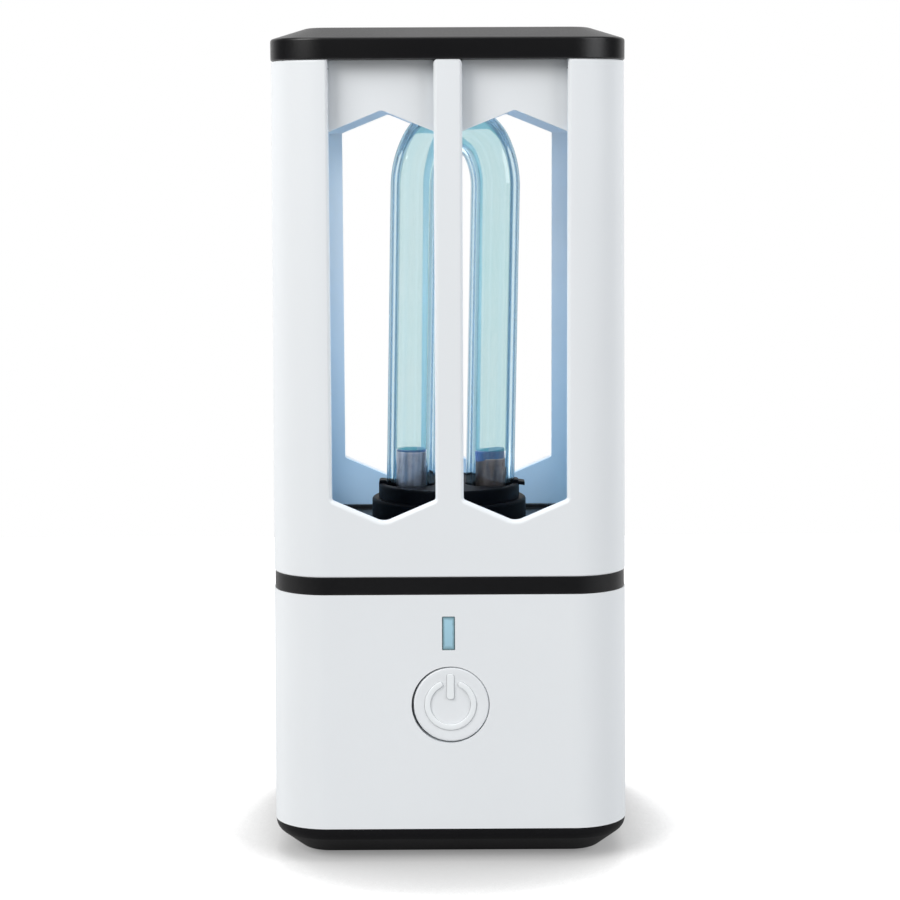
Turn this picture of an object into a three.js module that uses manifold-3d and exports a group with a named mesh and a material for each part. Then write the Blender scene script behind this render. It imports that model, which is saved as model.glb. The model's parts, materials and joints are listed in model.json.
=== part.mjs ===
// Portable UV sterilizer lamp: a rounded square column with a chamfered foot and cap,
// a lower housing for the battery and boards, and a cage of tall windows round a U-shaped lamp.
// Millimetres, +Z up, front towards -Y, origin on the ground under the middle of the column.
import * as THREE from "three";
import { mergeVertices } from "three/addons/utils/BufferGeometryUtils.js";
import Module from "manifold-3d";

const wasm = await Module();
wasm.setup();

// Fits shared by all pieces
const CLEARANCE = 0.3;
const OVERRUN = 1;
const WELD = 0.5;
const SAME_POINT = 1e-4;

// The column: half its width at the middle band, and how it widens downwards
const BODY = { half: 29, corner: 9, draft: THREE.MathUtils.degToRad(0.37) };

// Foot cover: chamfered underside, upright side, floor, and a lip inside the housing
const BASE = { chamferIn: 6, chamferRise: 3.5, side: 1.6, floor: 2.2, lip: 3.4, lipWall: 1.6, bossWall: 0.9 };
const FOOT = { proud: 0.5, sunk: 0.8, radius: 3.4 };

// Lower housing
const HOUSING = { height: 38.9, wall: 2.4, postInset: 10.4, postRadius: 3, ribWall: 1.5, lugHeight: 3.7 };

// Deck between housing and cage: visible band, lips up and down, and its plate
const DECK = { band: 2.9, inset: 0.15, lipUp: 3.8, lipDown: 2, lipWall: 2, plate: 2.2 };
const DECK_RIDGE = { high: 0.7, wall: 1.2 };
const SNAP = { length: 12, height: 1, depth: 0.6, drop: 1.6 };

// Cage and its windows, two on each side
const CAGE = { height: 82.9, wall: 2.6, flange: 1.2, flangeIn: 2.6 };
const WINDOW = { mullion: 4.54, width: 16.75, sill: 13, head: 11.3, vee: 3.4, veeRound: 2.6 };
const HEADER = { wall: 1.6, plate: 1.5 };

// Cap
const CAP = { proud: 0.1, side: 3.4, chamferIn: 6, chamferRise: 1.6, hollow: 2.3, wall: 2 };
const CROWN = { inset: 7, rise: 0.3 };
const CAP_BOSS = { inset: 11, radius: 2.6, spare: 0.4 };

// U-shaped lamp and what carries it
const LAMP = { tube: 4.2, bore: 2.5, legOffset: 6.85, topGap: 4.8, pocket: 3, bendSteps: 16 };
const ELECTRODE = { radius: 2.2, wall: 0.35, height: 5.8, floor: 1, lift: 5.4 };
const SOCKET = { radius: 13.3, height: 6, screwOffset: 9.4 };
const HOLDER = { radius: 12.5, height: 2.8 };
const HOOK = { width: 3, thick: 0.9, inset: 0.3, rise: 0.9, nub: 0.5, nubHigh: 0.6 };
const LEAD = { radius: 0.6, hole: 1.1, sag: 3, steps: 22 };

// Power button, its lit symbol and the switch behind it
const BUTTON = { drop: 18.2, radius: 6.15, gap: 0.22, sunk: 0.1, face: 1.2, toPlunger: 1 };
const FLANGE = { out: 0.9, thick: 0.8 };
const TRAVEL = 0.5;
const SYMBOL = { ring: 3.75, stroke: 0.95, openHalf: THREE.MathUtils.degToRad(25), proud: 0.15, gap: 0.1 };
const BAR = { width: 1.2, low: 0.9, high: 5.15, roundShare: 0.9 };
const DISC = { radius: 5.3, thick: 0.8, stem: 1.6 };
const SWITCH = { half: 3, height: 3.4, well: 1.9, plunger: 1.4, reach: 1.1 };

// Status light above the button
const INDICATOR = { drop: 6.35, width: 2.2, height: 5.5, sunk: 0.2, flange: 0.8, flangeOut: 0.7, gap: 0.1 };
const LED = { width: 1.6, height: 3, thick: 0.9 };

// Boards, battery and their carriers
const TRAY = { floor: 1.2, wall: 1.2, wallHigh: 5, columnRadius: 2, columnInset: 4.4, columnShare: 0.61 };
const BATTERY = { thick: 10, edge: 1.5 };
const PAD = { thick: 1, margin: 4 };
const BOARD = { thick: 1.6, edgeGap: 2.2, rearGap: 0.6, corner: 4, frontGap: 3.7, over: 5.2, postDrop: 1.8 };
const BOARD_NOTCH = { halfShare: 0.55, deep: 3 };
const CONTROL = { postGap: 3.4, rail: 1.6, railLip: 0.8, railHold: 1.1, topGap: 0.5 };
const CHARGE = { width: 7.5, height: 2.7, depth: 6.2, wall: 0.35, bevel: 0.8, sunk: 0.5, around: 0.7 };
const TONGUE = { width: 4.6, thick: 0.7, length: 4.4 };
const CONTROL_CHIP = { xShare: 0.5, rise: 8, wideShare: 0.45, high: 5, thick: 1.2 };
const RIBBON = { widthShare: 0.37, thick: 0.4, rise: 6, onBoard: 2.3, xShare: -0.2 };

// Parts on the driver board: shares of its half width in x, and of its depth in y from its front
const LEAD_END = { xShare: 0.43, yShare: 0.28 };
const CORE = { xShare: -0.35, yShare: 0.5, wideShare: 0.57, deepShare: 0.27, high: 11, leg: 2.6 };
const COIL = { deepShare: 0.38 };
const FILM_CAP = { xShare: 0.45, yShare: 0.79, wideShare: 0.49, deepShare: 0.125, high: 9.5 };
const CAN = { xShare: 0.37, yShare: 0.14, radiusShare: 0.165, high: 11.5 };
const TRANSISTOR = { xShare: -0.58, yShare: 0.165, wideShare: 0.31, deepShare: 0.075, high: 10 };
const CHIP = { xShare: -0.2, yShare: 0.14, wideShare: 0.2, deepShare: 0.1, high: 1.5 };
const PLUG = { xShare: 0.65, wideShare: 0.2, deepShare: 0.15, high: 5 };
const WIRE = { radius: 0.65, spread: 1.5, out: 1.9, rise: 4, steps: 16 };

// Screws: shaft radius and length, head radius and height, cross recess
const SCREW = { radius: 1.2, head: 2.2, headHigh: 1.6, slot: 0.5, slotLong: 2.4, slotDeep: 0.7 };
const BITE = { base: 11, deck: 10, cap: 5.2, board: 6, socket: 6 };

// Heights of the stacked pieces
const BASE_BOTTOM = FOOT.proud;
const BASE_TOP = BASE_BOTTOM + BASE.chamferRise + BASE.side;
const BASE_FLOOR = BASE_BOTTOM + BASE.floor;
const HOUSING_TOP = BASE_TOP + HOUSING.height;
const BAND_TOP = HOUSING_TOP + DECK.band;
const DECK_RIM = BAND_TOP + DECK.lipUp;
const DECK_TOP = DECK_RIM - DECK_RIDGE.high;
const PLATE_UNDER = DECK_TOP - DECK.plate;
const CAGE_TOP = BAND_TOP + CAGE.height;
const HEADER_TOP = CAGE_TOP - CAGE.flange - CLEARANCE;
const HEADER_UNDER = HEADER_TOP - HEADER.plate;
const CAP_EDGE = CAGE_TOP + CAP.side;
const SILL = BAND_TOP + WINDOW.sill;
const HEAD = CAGE_TOP - WINDOW.head;

// How far the column's side stands from its axis at a height
function sideAt(z) {
  return BODY.half + (BAND_TOP - z) * Math.tan(BODY.draft);
}

const ROUND = { corner: 6, fine: 28, small: 12 };

// Corner points of a rounded square, counter-clockwise
function squareRing(half, corner) {
  const points = [];
  for (let quarter = 0; quarter < 4; quarter++) {
    for (let step = 0; step <= ROUND.corner; step++) {
      const angle = (Math.PI / 2) * (quarter + step / ROUND.corner);
      const turn = (Math.PI / 2) * quarter + Math.PI / 4;
      const centreX = Math.SQRT2 * (half - corner) * Math.cos(turn);
      const centreY = Math.SQRT2 * (half - corner) * Math.sin(turn);
      const x = centreX + corner * Math.cos(angle);
      const y = centreY + corner * Math.sin(angle);
      points.push(new THREE.Vector2(x, y));
    }
  }
  return points;
}

// Closed body through rounded squares stacked in z: levels are [z, half width, corner radius]
function tower(levels) {
  const rings = levels.map(([, half, corner]) => squareRing(half, corner));
  const count = rings[0].length;
  const positions = rings.flatMap((ring, i) => ring.flatMap((p) => [p.x, p.y, levels[i][0]]));
  const faces = [];
  for (let level = 0; level < rings.length - 1; level++) {
    for (let i = 0; i < count; i++) {
      const a = level * count + i;
      const b = level * count + ((i + 1) % count);
      faces.push(a, b, b + count, a, b + count, a + count);
    }
  }
  const top = (rings.length - 1) * count;
  for (const [a, b, c] of THREE.ShapeUtils.triangulateShape(rings[0], [])) {
    faces.push(a, c, b, top + a, top + b, top + c);
  }
  const geometry = new THREE.BufferGeometry();
  geometry.setAttribute("position", new THREE.Float32BufferAttribute(positions, 3));
  geometry.setIndex(faces);
  return solid(geometry);
}

// A piece of the drafted column between two heights, set in from its side
function column(low, high, inset) {
  const corner = BODY.corner - inset;
  return tower([
    [low, sideAt(low) - inset, corner],
    [high, sideAt(high) - inset, corner],
  ]);
}

// A geometry with its seams merged, as a solid for cutting and joining
function solid(geometry) {
  const bare = geometry.clone();
  bare.deleteAttribute("normal");
  bare.deleteAttribute("uv");
  const merged = mergeVertices(bare, SAME_POINT);
  const mesh = new wasm.Mesh({
    numProp: 3,
    vertProperties: merged.attributes.position.array,
    triVerts: new Uint32Array(merged.index.array),
  });
  return new wasm.Manifold(mesh);
}

function box(x0, x1, y0, y1, z0, z1) {
  const geometry = new THREE.BoxGeometry(x1 - x0, y1 - y0, z1 - z0);
  geometry.translate((x0 + x1) / 2, (y0 + y1) / 2, (z0 + z1) / 2);
  return solid(geometry);
}

// Two lengths on one side of the axis, in rising order
function span(sign, a, b) {
  return [sign * a, sign * b].sort((p, q) => p - q);
}

// Box centred on x and y, standing on z
function block(x, y, z, wide, deep, high) {
  return box(x - wide / 2, x + wide / 2, y - deep / 2, y + deep / 2, z, z + high);
}

// Upright cylinder
function post(x, y, z0, z1, radius, sides = ROUND.small) {
  const geometry = new THREE.CylinderGeometry(radius, radius, z1 - z0, sides);
  geometry.rotateX(Math.PI / 2);
  geometry.translate(x, y, (z0 + z1) / 2);
  return solid(geometry);
}

// Cylinder along Y
function rod(x, z, y0, y1, radius, sides = ROUND.fine) {
  const geometry = new THREE.CylinderGeometry(radius, radius, y1 - y0, sides);
  geometry.translate(x, (y0 + y1) / 2, z);
  return solid(geometry);
}

// Outline drawn in x and z, given its thickness along Y
function slabY(shape, y0, y1, curveSegments = ROUND.corner) {
  const geometry = new THREE.ExtrudeGeometry(shape, { depth: y1 - y0, bevelEnabled: false, curveSegments });
  geometry.rotateX(Math.PI / 2);
  geometry.translate(0, y1, 0);
  return solid(geometry);
}

// Outline drawn in x and y, given its height along Z
function slabZ(shape, z0, z1) {
  const settings = { depth: z1 - z0, bevelEnabled: false, curveSegments: ROUND.corner };
  const geometry = new THREE.ExtrudeGeometry(shape, settings);
  geometry.translate(0, 0, z0);
  return solid(geometry);
}

function roundedRectangle(x0, x1, y0, y1, radius) {
  const shape = new THREE.Shape();
  shape.absarc(x1 - radius, y1 - radius, radius, 0, Math.PI / 2);
  shape.absarc(x0 + radius, y1 - radius, radius, Math.PI / 2, Math.PI);
  shape.absarc(x0 + radius, y0 + radius, radius, Math.PI, 1.5 * Math.PI);
  shape.absarc(x1 - radius, y0 + radius, radius, 1.5 * Math.PI, 2 * Math.PI);
  shape.closePath();
  return shape;
}

// The four turns of a solid about the column's axis, joined or cut one after another
function fourTurns(make) {
  const one = make();
  return [0, 90, 180, 270].map((angle) => one.rotate([0, 0, angle]));
}

function corners(offset) {
  return [
    [offset, offset],
    [-offset, offset],
    [-offset, -offset],
    [offset, -offset],
  ];
}

const addAll = (body, pieces) => pieces.reduce((sum, piece) => sum.add(piece), body);
const cutAll = (body, pieces) => pieces.reduce((sum, piece) => sum.subtract(piece), body);

function finish(color, roughness, metalness = 0, opacity = 1) {
  const transparent = opacity < 1;
  return () => new THREE.MeshStandardMaterial({ color, roughness, metalness, opacity, transparent });
}

const FINISHES = {
  white: finish(0xe6e9ec, 0.38),
  black: finish(0x17181a, 0.35),
  rubber: finish(0x202124, 0.85),
  glass: finish(0xc4e6ea, 0.05, 0, 0.4),
  lens: finish(0x9cc6d4, 0.25),
  symbol: finish(0xf2f5f7, 0.3),
  steel: finish(0xa9adb2, 0.35, 1),
  nickel: finish(0x8f9196, 0.4, 1),
  board: finish(0x1f6b45, 0.5),
  foil: finish(0xb9bcc2, 0.35, 1),
  foam: finish(0x3a3c40, 0.95),
  ferrite: finish(0x35363a, 0.7),
  copper: finish(0xc98a3c, 0.4, 1),
  yellow: finish(0xc8a53a, 0.5),
  can: finish(0x26324a, 0.4),
  chip: finish(0x1b1c1f, 0.6),
  red: finish(0xb3261e, 0.5),
  cream: finish(0xece6d2, 0.5),
};

// A named mesh from a solid
function piece(name, shape, look) {
  const mesh = shape.getMesh();
  const geometry = new THREE.BufferGeometry();
  geometry.setAttribute("position", new THREE.BufferAttribute(mesh.vertProperties, 3));
  geometry.setIndex(new THREE.BufferAttribute(mesh.triVerts, 1));
  geometry.computeVertexNormals();
  const made = new THREE.Mesh(geometry, FINISHES[look]());
  made.name = name;
  return made;
}

// Pan-head screw with its bearing face at z 0 and its shaft upwards
function screwShape(bite) {
  const shaft = post(0, 0, -WELD, bite, SCREW.radius);
  const head = post(0, 0, -SCREW.headHigh, 0, SCREW.head);
  const slotLow = -SCREW.headHigh - OVERRUN;
  const slotTall = SCREW.slotDeep + OVERRUN;
  const slots = [
    block(0, 0, slotLow, SCREW.slotLong, SCREW.slot, slotTall),
    block(0, 0, slotLow, SCREW.slot, SCREW.slotLong, slotTall),
  ];
  return cutAll(head.add(shaft), slots);
}

// Copies of one screw, each with its own name, at the given points
function screws(name, bite, points, z, pointsDown = false) {
  const group = new THREE.Group();
  points.forEach(([x, y], i) => {
    const one = piece(`${name}_${i + 1}`, screwShape(bite), "steel");
    one.position.set(x, y, z);
    if (pointsDown) one.rotation.x = Math.PI;
    group.add(one);
  });
  return group;
}

const HOLE = SCREW.radius + CLEARANCE;
const POST_AT = BODY.half - HOUSING.postInset;
const POST_POINTS = corners(POST_AT);
const CAP_POINTS = corners(BODY.half - CAP_BOSS.inset);
const insideHousing = (z) => sideAt(z) - HOUSING.wall;

// Upright posts or holes of one size at several points
function posts(points, low, high, radius, sides = ROUND.small) {
  return points.map(([x, y]) => post(x, y, low, high, radius, sides));
}

// Heights inside the housing
const HEAD_POCKET = BASE_BOTTOM + FOOT.sunk;
const BASE_SEAT = HEAD_POCKET + SCREW.headHigh + CLEARANCE;
const TRAY_FLOOR = BASE_FLOOR + TRAY.floor;
const BATTERY_LOW = TRAY_FLOOR + PAD.thick;
const BOARD_LOW = BATTERY_LOW + BATTERY.thick + BOARD.over;
const BOARD_HIGH = BOARD_LOW + BOARD.thick;
const POST_HIGH = BOARD_LOW - BOARD.postDrop;
const LIP_LOW = HOUSING_TOP - DECK.lipDown;
const LUG_HIGH = LIP_LOW - CLEARANCE;
const LUG_LOW = LUG_HIGH - HOUSING.lugHeight;

// Places of the button, its switch and the control board along Y
const BUTTON_Z = HOUSING_TOP - BUTTON.drop;
const INDICATOR_Z = HOUSING_TOP - INDICATOR.drop;
const BUTTON_FRONT = -sideAt(BUTTON_Z) + BUTTON.sunk;
const BUTTON_BACK = BUTTON_FRONT + BUTTON.face;
const WALL_BACK = -insideHousing(BASE_TOP) + CLEARANCE;
const FLANGE_BACK = WALL_BACK + FLANGE.thick + TRAVEL / 2;
const PLUNGER_FRONT = FLANGE_BACK + BUTTON.toPlunger + TRAVEL;
const SWITCH_FRONT = PLUNGER_FRONT + SWITCH.reach;
const CONTROL_FRONT = SWITCH_FRONT + SWITCH.height;
const CONTROL_BACK = CONTROL_FRONT + BOARD.thick;
const CONTROL_X = POST_AT - CONTROL.postGap;

// Edges of the driver board, and places and sizes on it from their shares
const DRIVER_X = BODY.half - HOUSING.wall - BOARD.edgeGap;
const DRIVER_REAR = BODY.half - HOUSING.wall - BOARD.rearGap;
const DRIVER_FRONT = CONTROL_BACK + BOARD.frontGap;
const DRIVER_DEPTH = DRIVER_REAR - DRIVER_FRONT;
const boardX = (share) => share * DRIVER_X;
const boardY = (share) => DRIVER_FRONT + share * DRIVER_DEPTH;
const boardDeep = (share) => share * DRIVER_DEPTH;

// Openings in the base lip for the ribs of one corner post
function ribGaps([x, y]) {
  const reach = POST_AT + HOUSING.postInset - HOUSING.wall;
  const half = HOUSING.ribWall / 2 + CLEARANCE;
  const high = BASE_TOP + BASE.lip + OVERRUN;
  const [x0, x1] = span(Math.sign(x), POST_AT, reach);
  const [y0, y1] = span(Math.sign(y), POST_AT, reach);
  return [
    box(x0, x1, y - half, y + half, BASE_TOP, high),
    box(x - half, x + half, y0, y1, BASE_TOP, high),
  ];
}

function buildBase() {
  const edge = sideAt(BASE_TOP);
  const lipHigh = BASE_TOP + BASE.lip;
  const lipInset = HOUSING.wall + CLEARANCE;
  const shell = tower([
    [BASE_BOTTOM, edge - BASE.chamferIn, BODY.corner - BASE.chamferIn],
    [BASE_BOTTOM + BASE.chamferRise, edge, BODY.corner],
    [BASE_TOP, edge, BODY.corner],
  ]);
  const lip = column(BASE_TOP - WELD, lipHigh, lipInset);
  const hollow = column(BASE_FLOOR, lipHigh + OVERRUN, lipInset + BASE.lipWall);
  const bossRadius = SCREW.head + CLEARANCE + BASE.bossWall;
  const bosses = posts(POST_POINTS, BASE_FLOOR - WELD, BASE_TOP, bossRadius);
  const body = addAll(shell.add(lip).subtract(hollow), bosses);
  const footRadius = FOOT.radius + CLEARANCE;
  const footHoles = posts(POST_POINTS, BASE_BOTTOM - OVERRUN, HEAD_POCKET, footRadius, ROUND.fine);
  const headHoles = posts(POST_POINTS, HEAD_POCKET - WELD, BASE_SEAT, SCREW.head + CLEARANCE);
  const shaftHoles = posts(POST_POINTS, BASE_SEAT - WELD, BASE_TOP + OVERRUN, HOLE);
  const cover = cutAll(body, [...POST_POINTS.flatMap(ribGaps), ...footHoles, ...headHoles, ...shaftHoles]);
  return piece("base_cover", cover, "black");
}

// Thin feet that close the base's screw holes
function buildFeet() {
  const group = new THREE.Group();
  const shape = post(0, 0, 0, FOOT.proud + FOOT.sunk, FOOT.radius, ROUND.fine);
  POST_POINTS.forEach(([x, y], i) => {
    const foot = piece(`rubber_foot_${i + 1}`, shape, "rubber");
    foot.position.set(x, y, 0);
    group.add(foot);
  });
  return group;
}

// Corner post with its two ribs, in one corner of the housing
function cornerPost(low, high) {
  const reach = POST_AT + HOUSING.postInset - HOUSING.wall + WELD;
  const rib = HOUSING.ribWall / 2;
  return post(POST_AT, POST_AT, low, high, HOUSING.postRadius)
    .add(box(POST_AT, reach, POST_AT - rib, POST_AT + rib, low, high))
    .add(box(POST_AT - rib, POST_AT + rib, POST_AT, reach, low, high));
}

// Upright channels that hold the control board's edges
function boardRails() {
  const inner = CONTROL_X - CONTROL.railHold + CLEARANCE;
  const outer = CONTROL_X + CONTROL.rail;
  const front = -insideHousing(BASE_TOP) - WELD;
  const back = CONTROL_BACK + CLEARANCE + CONTROL.railLip;
  const high = LUG_LOW - SCREW.headHigh - CLEARANCE;
  return [1, -1].map((side) => {
    const [x0, x1] = span(side, inner, outer);
    return box(x0, x1, front, back, POST_HIGH - WELD, high);
  });
}

// Openings through the housing's walls: button, status light and charging socket
function housingPorts() {
  const outside = -sideAt(BASE_TOP) - OVERRUN;
  const button = rod(0, BUTTON_Z, outside, WALL_BACK, BUTTON.radius + BUTTON.gap);
  const lightHalf = INDICATOR.width / 2 + INDICATOR.gap;
  const lightTall = INDICATOR.height / 2 + INDICATOR.gap;
  const lightLow = INDICATOR_Z - lightTall;
  const light = box(-lightHalf, lightHalf, outside, WALL_BACK, lightLow, INDICATOR_Z + lightTall);
  const half = CHARGE.width / 2 + CHARGE.around;
  const low = BOARD_HIGH - CHARGE.around;
  const high = BOARD_HIGH + CHARGE.height + CHARGE.around;
  const outline = roundedRectangle(-half, half, low, high, CHARGE.around + CHARGE.bevel);
  return [button, light, slabY(outline, POST_AT, sideAt(BASE_TOP) + OVERRUN)];
}

function buildHousing() {
  const outer = column(BASE_TOP, HOUSING_TOP, 0);
  const hollow = column(BASE_TOP - OVERRUN, HOUSING_TOP + OVERRUN, HOUSING.wall);
  const feet = fourTurns(() => cornerPost(BASE_TOP, POST_HIGH));
  const lugs = fourTurns(() => cornerPost(LUG_LOW, LUG_HIGH));
  const body = addAll(outer.subtract(hollow), [...feet, ...lugs, ...boardRails()]);
  const seat = CONTROL_X + CLEARANCE;
  const groove = box(-seat, seat, CONTROL_FRONT - CLEARANCE, CONTROL_BACK + CLEARANCE, POST_HIGH, LUG_LOW);
  const blind = posts(POST_POINTS, BASE_TOP - OVERRUN, POST_HIGH - OVERRUN, HOLE);
  const through = posts(POST_POINTS, LUG_LOW - OVERRUN, LUG_HIGH + OVERRUN, HOLE);
  return piece("lower_housing", cutAll(body, [groove, ...blind, ...through, ...housingPorts()]), "white");
}

// Catches on the deck's upper lip, or their pockets in the cage when grown by a clearance
function catches(face, grow) {
  const middle = DECK_RIM - SNAP.drop;
  const half = SNAP.length / 2 + grow;
  const tall = SNAP.height / 2 + grow;
  return fourTurns(() => box(face - WELD, face + SNAP.depth, -half, half, middle - tall, middle + tall));
}

function buildDeck() {
  const upInset = CAGE.wall + CLEARANCE;
  const downInset = HOUSING.wall + CLEARANCE;
  const band = column(HOUSING_TOP, BAND_TOP, DECK.inset);
  const up = column(BAND_TOP - WELD, DECK_RIM, upInset);
  const down = column(LIP_LOW, HOUSING_TOP + WELD, downInset);
  const tray = column(DECK_TOP, DECK_RIM + OVERRUN, upInset + DECK_RIDGE.wall);
  const under = column(LIP_LOW - OVERRUN, PLATE_UNDER, downInset + DECK.lipWall);
  const bosses = posts(POST_POINTS, LIP_LOW, PLATE_UNDER + WELD, HOUSING.postRadius);
  const face = sideAt(DECK_RIM) - upInset;
  const plate = band.add(up).add(down).subtract(tray).subtract(under);
  const body = addAll(plate, [...bosses, ...catches(face, 0)]);
  const pilots = posts(POST_POINTS, LIP_LOW - OVERRUN, PLATE_UNDER + DECK.plate / 2, HOLE);
  const high = DECK_TOP + OVERRUN;
  const leads = posts(LEG_POINTS, PLATE_UNDER - WELD, high, LEAD.hole);
  const holes = posts(SOCKET_POINTS, PLATE_UNDER - WELD, high, HOLE);
  return piece("deck", cutAll(body, [...pilots, ...leads, ...holes]), "black");
}

const WINDOW_IN = WINDOW.mullion / 2;
const WINDOW_OUT = WINDOW_IN + WINDOW.width;
const WINDOW_MID = (WINDOW_IN + WINDOW_OUT) / 2;

// Window opening in x and z: a vee with a rounded point at one end, flat at the other
function windowOutline(corner, flat, vee) {
  const slope = Math.atan2(Math.abs(vee), WINDOW.width / 2);
  const round = WINDOW.veeRound * Math.tan(slope / 2) * Math.cos(slope);
  const back = corner - vee + (vee * round) / (WINDOW.width / 2);
  const shape = new THREE.Shape();
  shape.moveTo(WINDOW_IN, flat);
  shape.lineTo(WINDOW_IN, corner);
  shape.lineTo(WINDOW_MID - round, back);
  shape.quadraticCurveTo(WINDOW_MID, corner - vee, WINDOW_MID + round, back);
  shape.lineTo(WINDOW_OUT, corner);
  shape.lineTo(WINDOW_OUT, flat);
  shape.closePath();
  return shape;
}

// Two windows side by side, cut into the front between two depths
function windowPair(outline, front, back) {
  const one = slabY(outline, front, back);
  return one.add(one.mirror([1, 0, 0]));
}

function buildCage() {
  const outer = column(BAND_TOP, CAGE_TOP, 0);
  const hollow = column(BAND_TOP - OVERRUN, CAGE_TOP - CAGE.flange, CAGE.wall);
  const mouth = column(CAGE_TOP - CAGE.flange - OVERRUN, CAGE_TOP + OVERRUN, CAGE.wall + CAGE.flangeIn);
  const front = -sideAt(BAND_TOP) - OVERRUN;
  const back = -sideAt(CAGE_TOP) + CAGE.wall;
  const outline = windowOutline(SILL, CAGE_TOP + OVERRUN, WINDOW.vee);
  const opening = windowOutline(SILL, HEADER_TOP, WINDOW.vee);
  const slots = fourTurns(() => windowPair(outline, front, back));
  const windows = fourTurns(() => windowPair(opening, front, back + WELD));
  const face = sideAt(DECK_RIM) - CAGE.wall;
  const cuts = [...slots, ...windows, ...catches(face - CLEARANCE, CLEARANCE)];
  return piece("lamp_cage", cutAll(outer.subtract(hollow).subtract(mouth), cuts), "white");
}

// Set-back frame that closes the tops of the windows and roofs the lamp's chamber
function buildHeader() {
  const inset = CAGE.wall + CLEARANCE;
  const outer = column(HEAD, HEADER_TOP, inset);
  const hollow = column(HEAD - OVERRUN, HEADER_UNDER, inset + HEADER.wall);
  const front = -sideAt(HEAD);
  const outline = windowOutline(HEAD, HEAD - OVERRUN, -WINDOW.vee);
  const notches = fourTurns(() => windowPair(outline, front, front + inset + HEADER.wall + WELD));
  const holes = posts(CAP_POINTS, HEADER_UNDER - OVERRUN, HEADER_TOP + OVERRUN, HOLE);
  return piece("header_frame", cutAll(outer.subtract(hollow), [...notches, ...holes]), "white");
}

function buildCap() {
  const half = sideAt(CAGE_TOP) + CAP.proud;
  const shoulder = CAP_EDGE + CAP.chamferRise;
  const shell = tower([
    [CAGE_TOP, half, BODY.corner],
    [CAP_EDGE, half, BODY.corner],
    [shoulder, half - CAP.chamferIn, BODY.corner - CAP.chamferIn],
    [shoulder + CROWN.rise, half - CAP.chamferIn - CROWN.inset, BODY.corner - CAP.chamferIn],
  ]);
  const hollow = column(CAGE_TOP - OVERRUN, CAGE_TOP + CAP.hollow, CAP.wall + CAGE.wall);
  const bosses = posts(CAP_POINTS, HEADER_TOP, CAGE_TOP + CAP.hollow + WELD, CAP_BOSS.radius);
  const pilotTop = HEADER_UNDER + BITE.cap + CAP_BOSS.spare;
  const pilots = posts(CAP_POINTS, HEADER_TOP - OVERRUN, pilotTop, HOLE);
  return piece("top_cap", cutAll(addAll(shell.subtract(hollow), bosses), pilots), "black");
}

// Lamp centreline: up one leg, round the bend, down the other, each leg in one step
class LampPath extends THREE.Curve {
  constructor(legTop) {
    super();
    this.legTop = legTop;
  }

  // Share of the bend covered at a point of the path
  bendShare(t) {
    return THREE.MathUtils.clamp((t * (LAMP.bendSteps + 2) - 1) / LAMP.bendSteps, 0, 1);
  }

  getPoint(t, target = new THREE.Vector3()) {
    const steps = t * (LAMP.bendSteps + 2);
    const rise = Math.min(1, steps, LAMP.bendSteps + 2 - steps);
    const angle = Math.PI * this.bendShare(t);
    const z = this.legTop * rise + LAMP.legOffset * Math.sin(angle);
    return target.set(-LAMP.legOffset * Math.cos(angle), 0, z);
  }

  getPointAt(t, target) {
    return this.getPoint(t, target);
  }

  getTangentAt(t, target = new THREE.Vector3()) {
    const angle = Math.PI * this.bendShare(t);
    return target.set(Math.sin(angle), 0, Math.cos(angle));
  }
}

const LEG_POINTS = [
  [LAMP.legOffset, 0],
  [-LAMP.legOffset, 0],
];
const SOCKET_POINTS = [
  [0, SOCKET.screwOffset],
  [0, -SOCKET.screwOffset],
];
const LAMP_SEAT = SOCKET.height - LAMP.pocket;
const HOLDER_TOP = SOCKET.height + HOLDER.height;
const HOOK_OUT = HOLDER.radius - HOOK.inset + HOOK.thick;

function buildTube() {
  const legTop = HEADER_UNDER - LAMP.topGap - DECK_TOP - LAMP.legOffset - LAMP.tube - LAMP_SEAT;
  const ring = new THREE.Shape().absarc(0, 0, LAMP.tube, 0, 2 * Math.PI);
  ring.holes.push(new THREE.Path().absarc(0, 0, LAMP.bore, 0, 2 * Math.PI, true));
  const settings = {
    extrudePath: new LampPath(legTop),
    steps: LAMP.bendSteps + 2,
    curveSegments: ROUND.corner,
    bevelEnabled: false,
  };
  const tube = piece("uv_lamp_tube", solid(new THREE.ExtrudeGeometry(ring, settings)), "glass");
  tube.position.z = LAMP_SEAT;
  return tube;
}

// Metal cup at the foot of one leg
function buildElectrode(side, sign) {
  const high = ELECTRODE.height + OVERRUN;
  const cup = post(0, 0, 0, ELECTRODE.height, ELECTRODE.radius);
  const well = post(0, 0, ELECTRODE.floor, high, ELECTRODE.radius - ELECTRODE.wall);
  const made = piece(`electrode_${side}`, cup.subtract(well), "nickel");
  made.position.set(sign * LAMP.legOffset, 0, LAMP_SEAT + ELECTRODE.lift);
  return made;
}

// Wire of a round section along a smooth route
function wire(points, radius, steps) {
  const section = new THREE.Shape().absarc(0, 0, radius, 0, 2 * Math.PI);
  const settings = { extrudePath: new THREE.CatmullRomCurve3(points), steps, curveSegments: 4 };
  return solid(new THREE.ExtrudeGeometry(section, { ...settings, bevelEnabled: false }));
}

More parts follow.
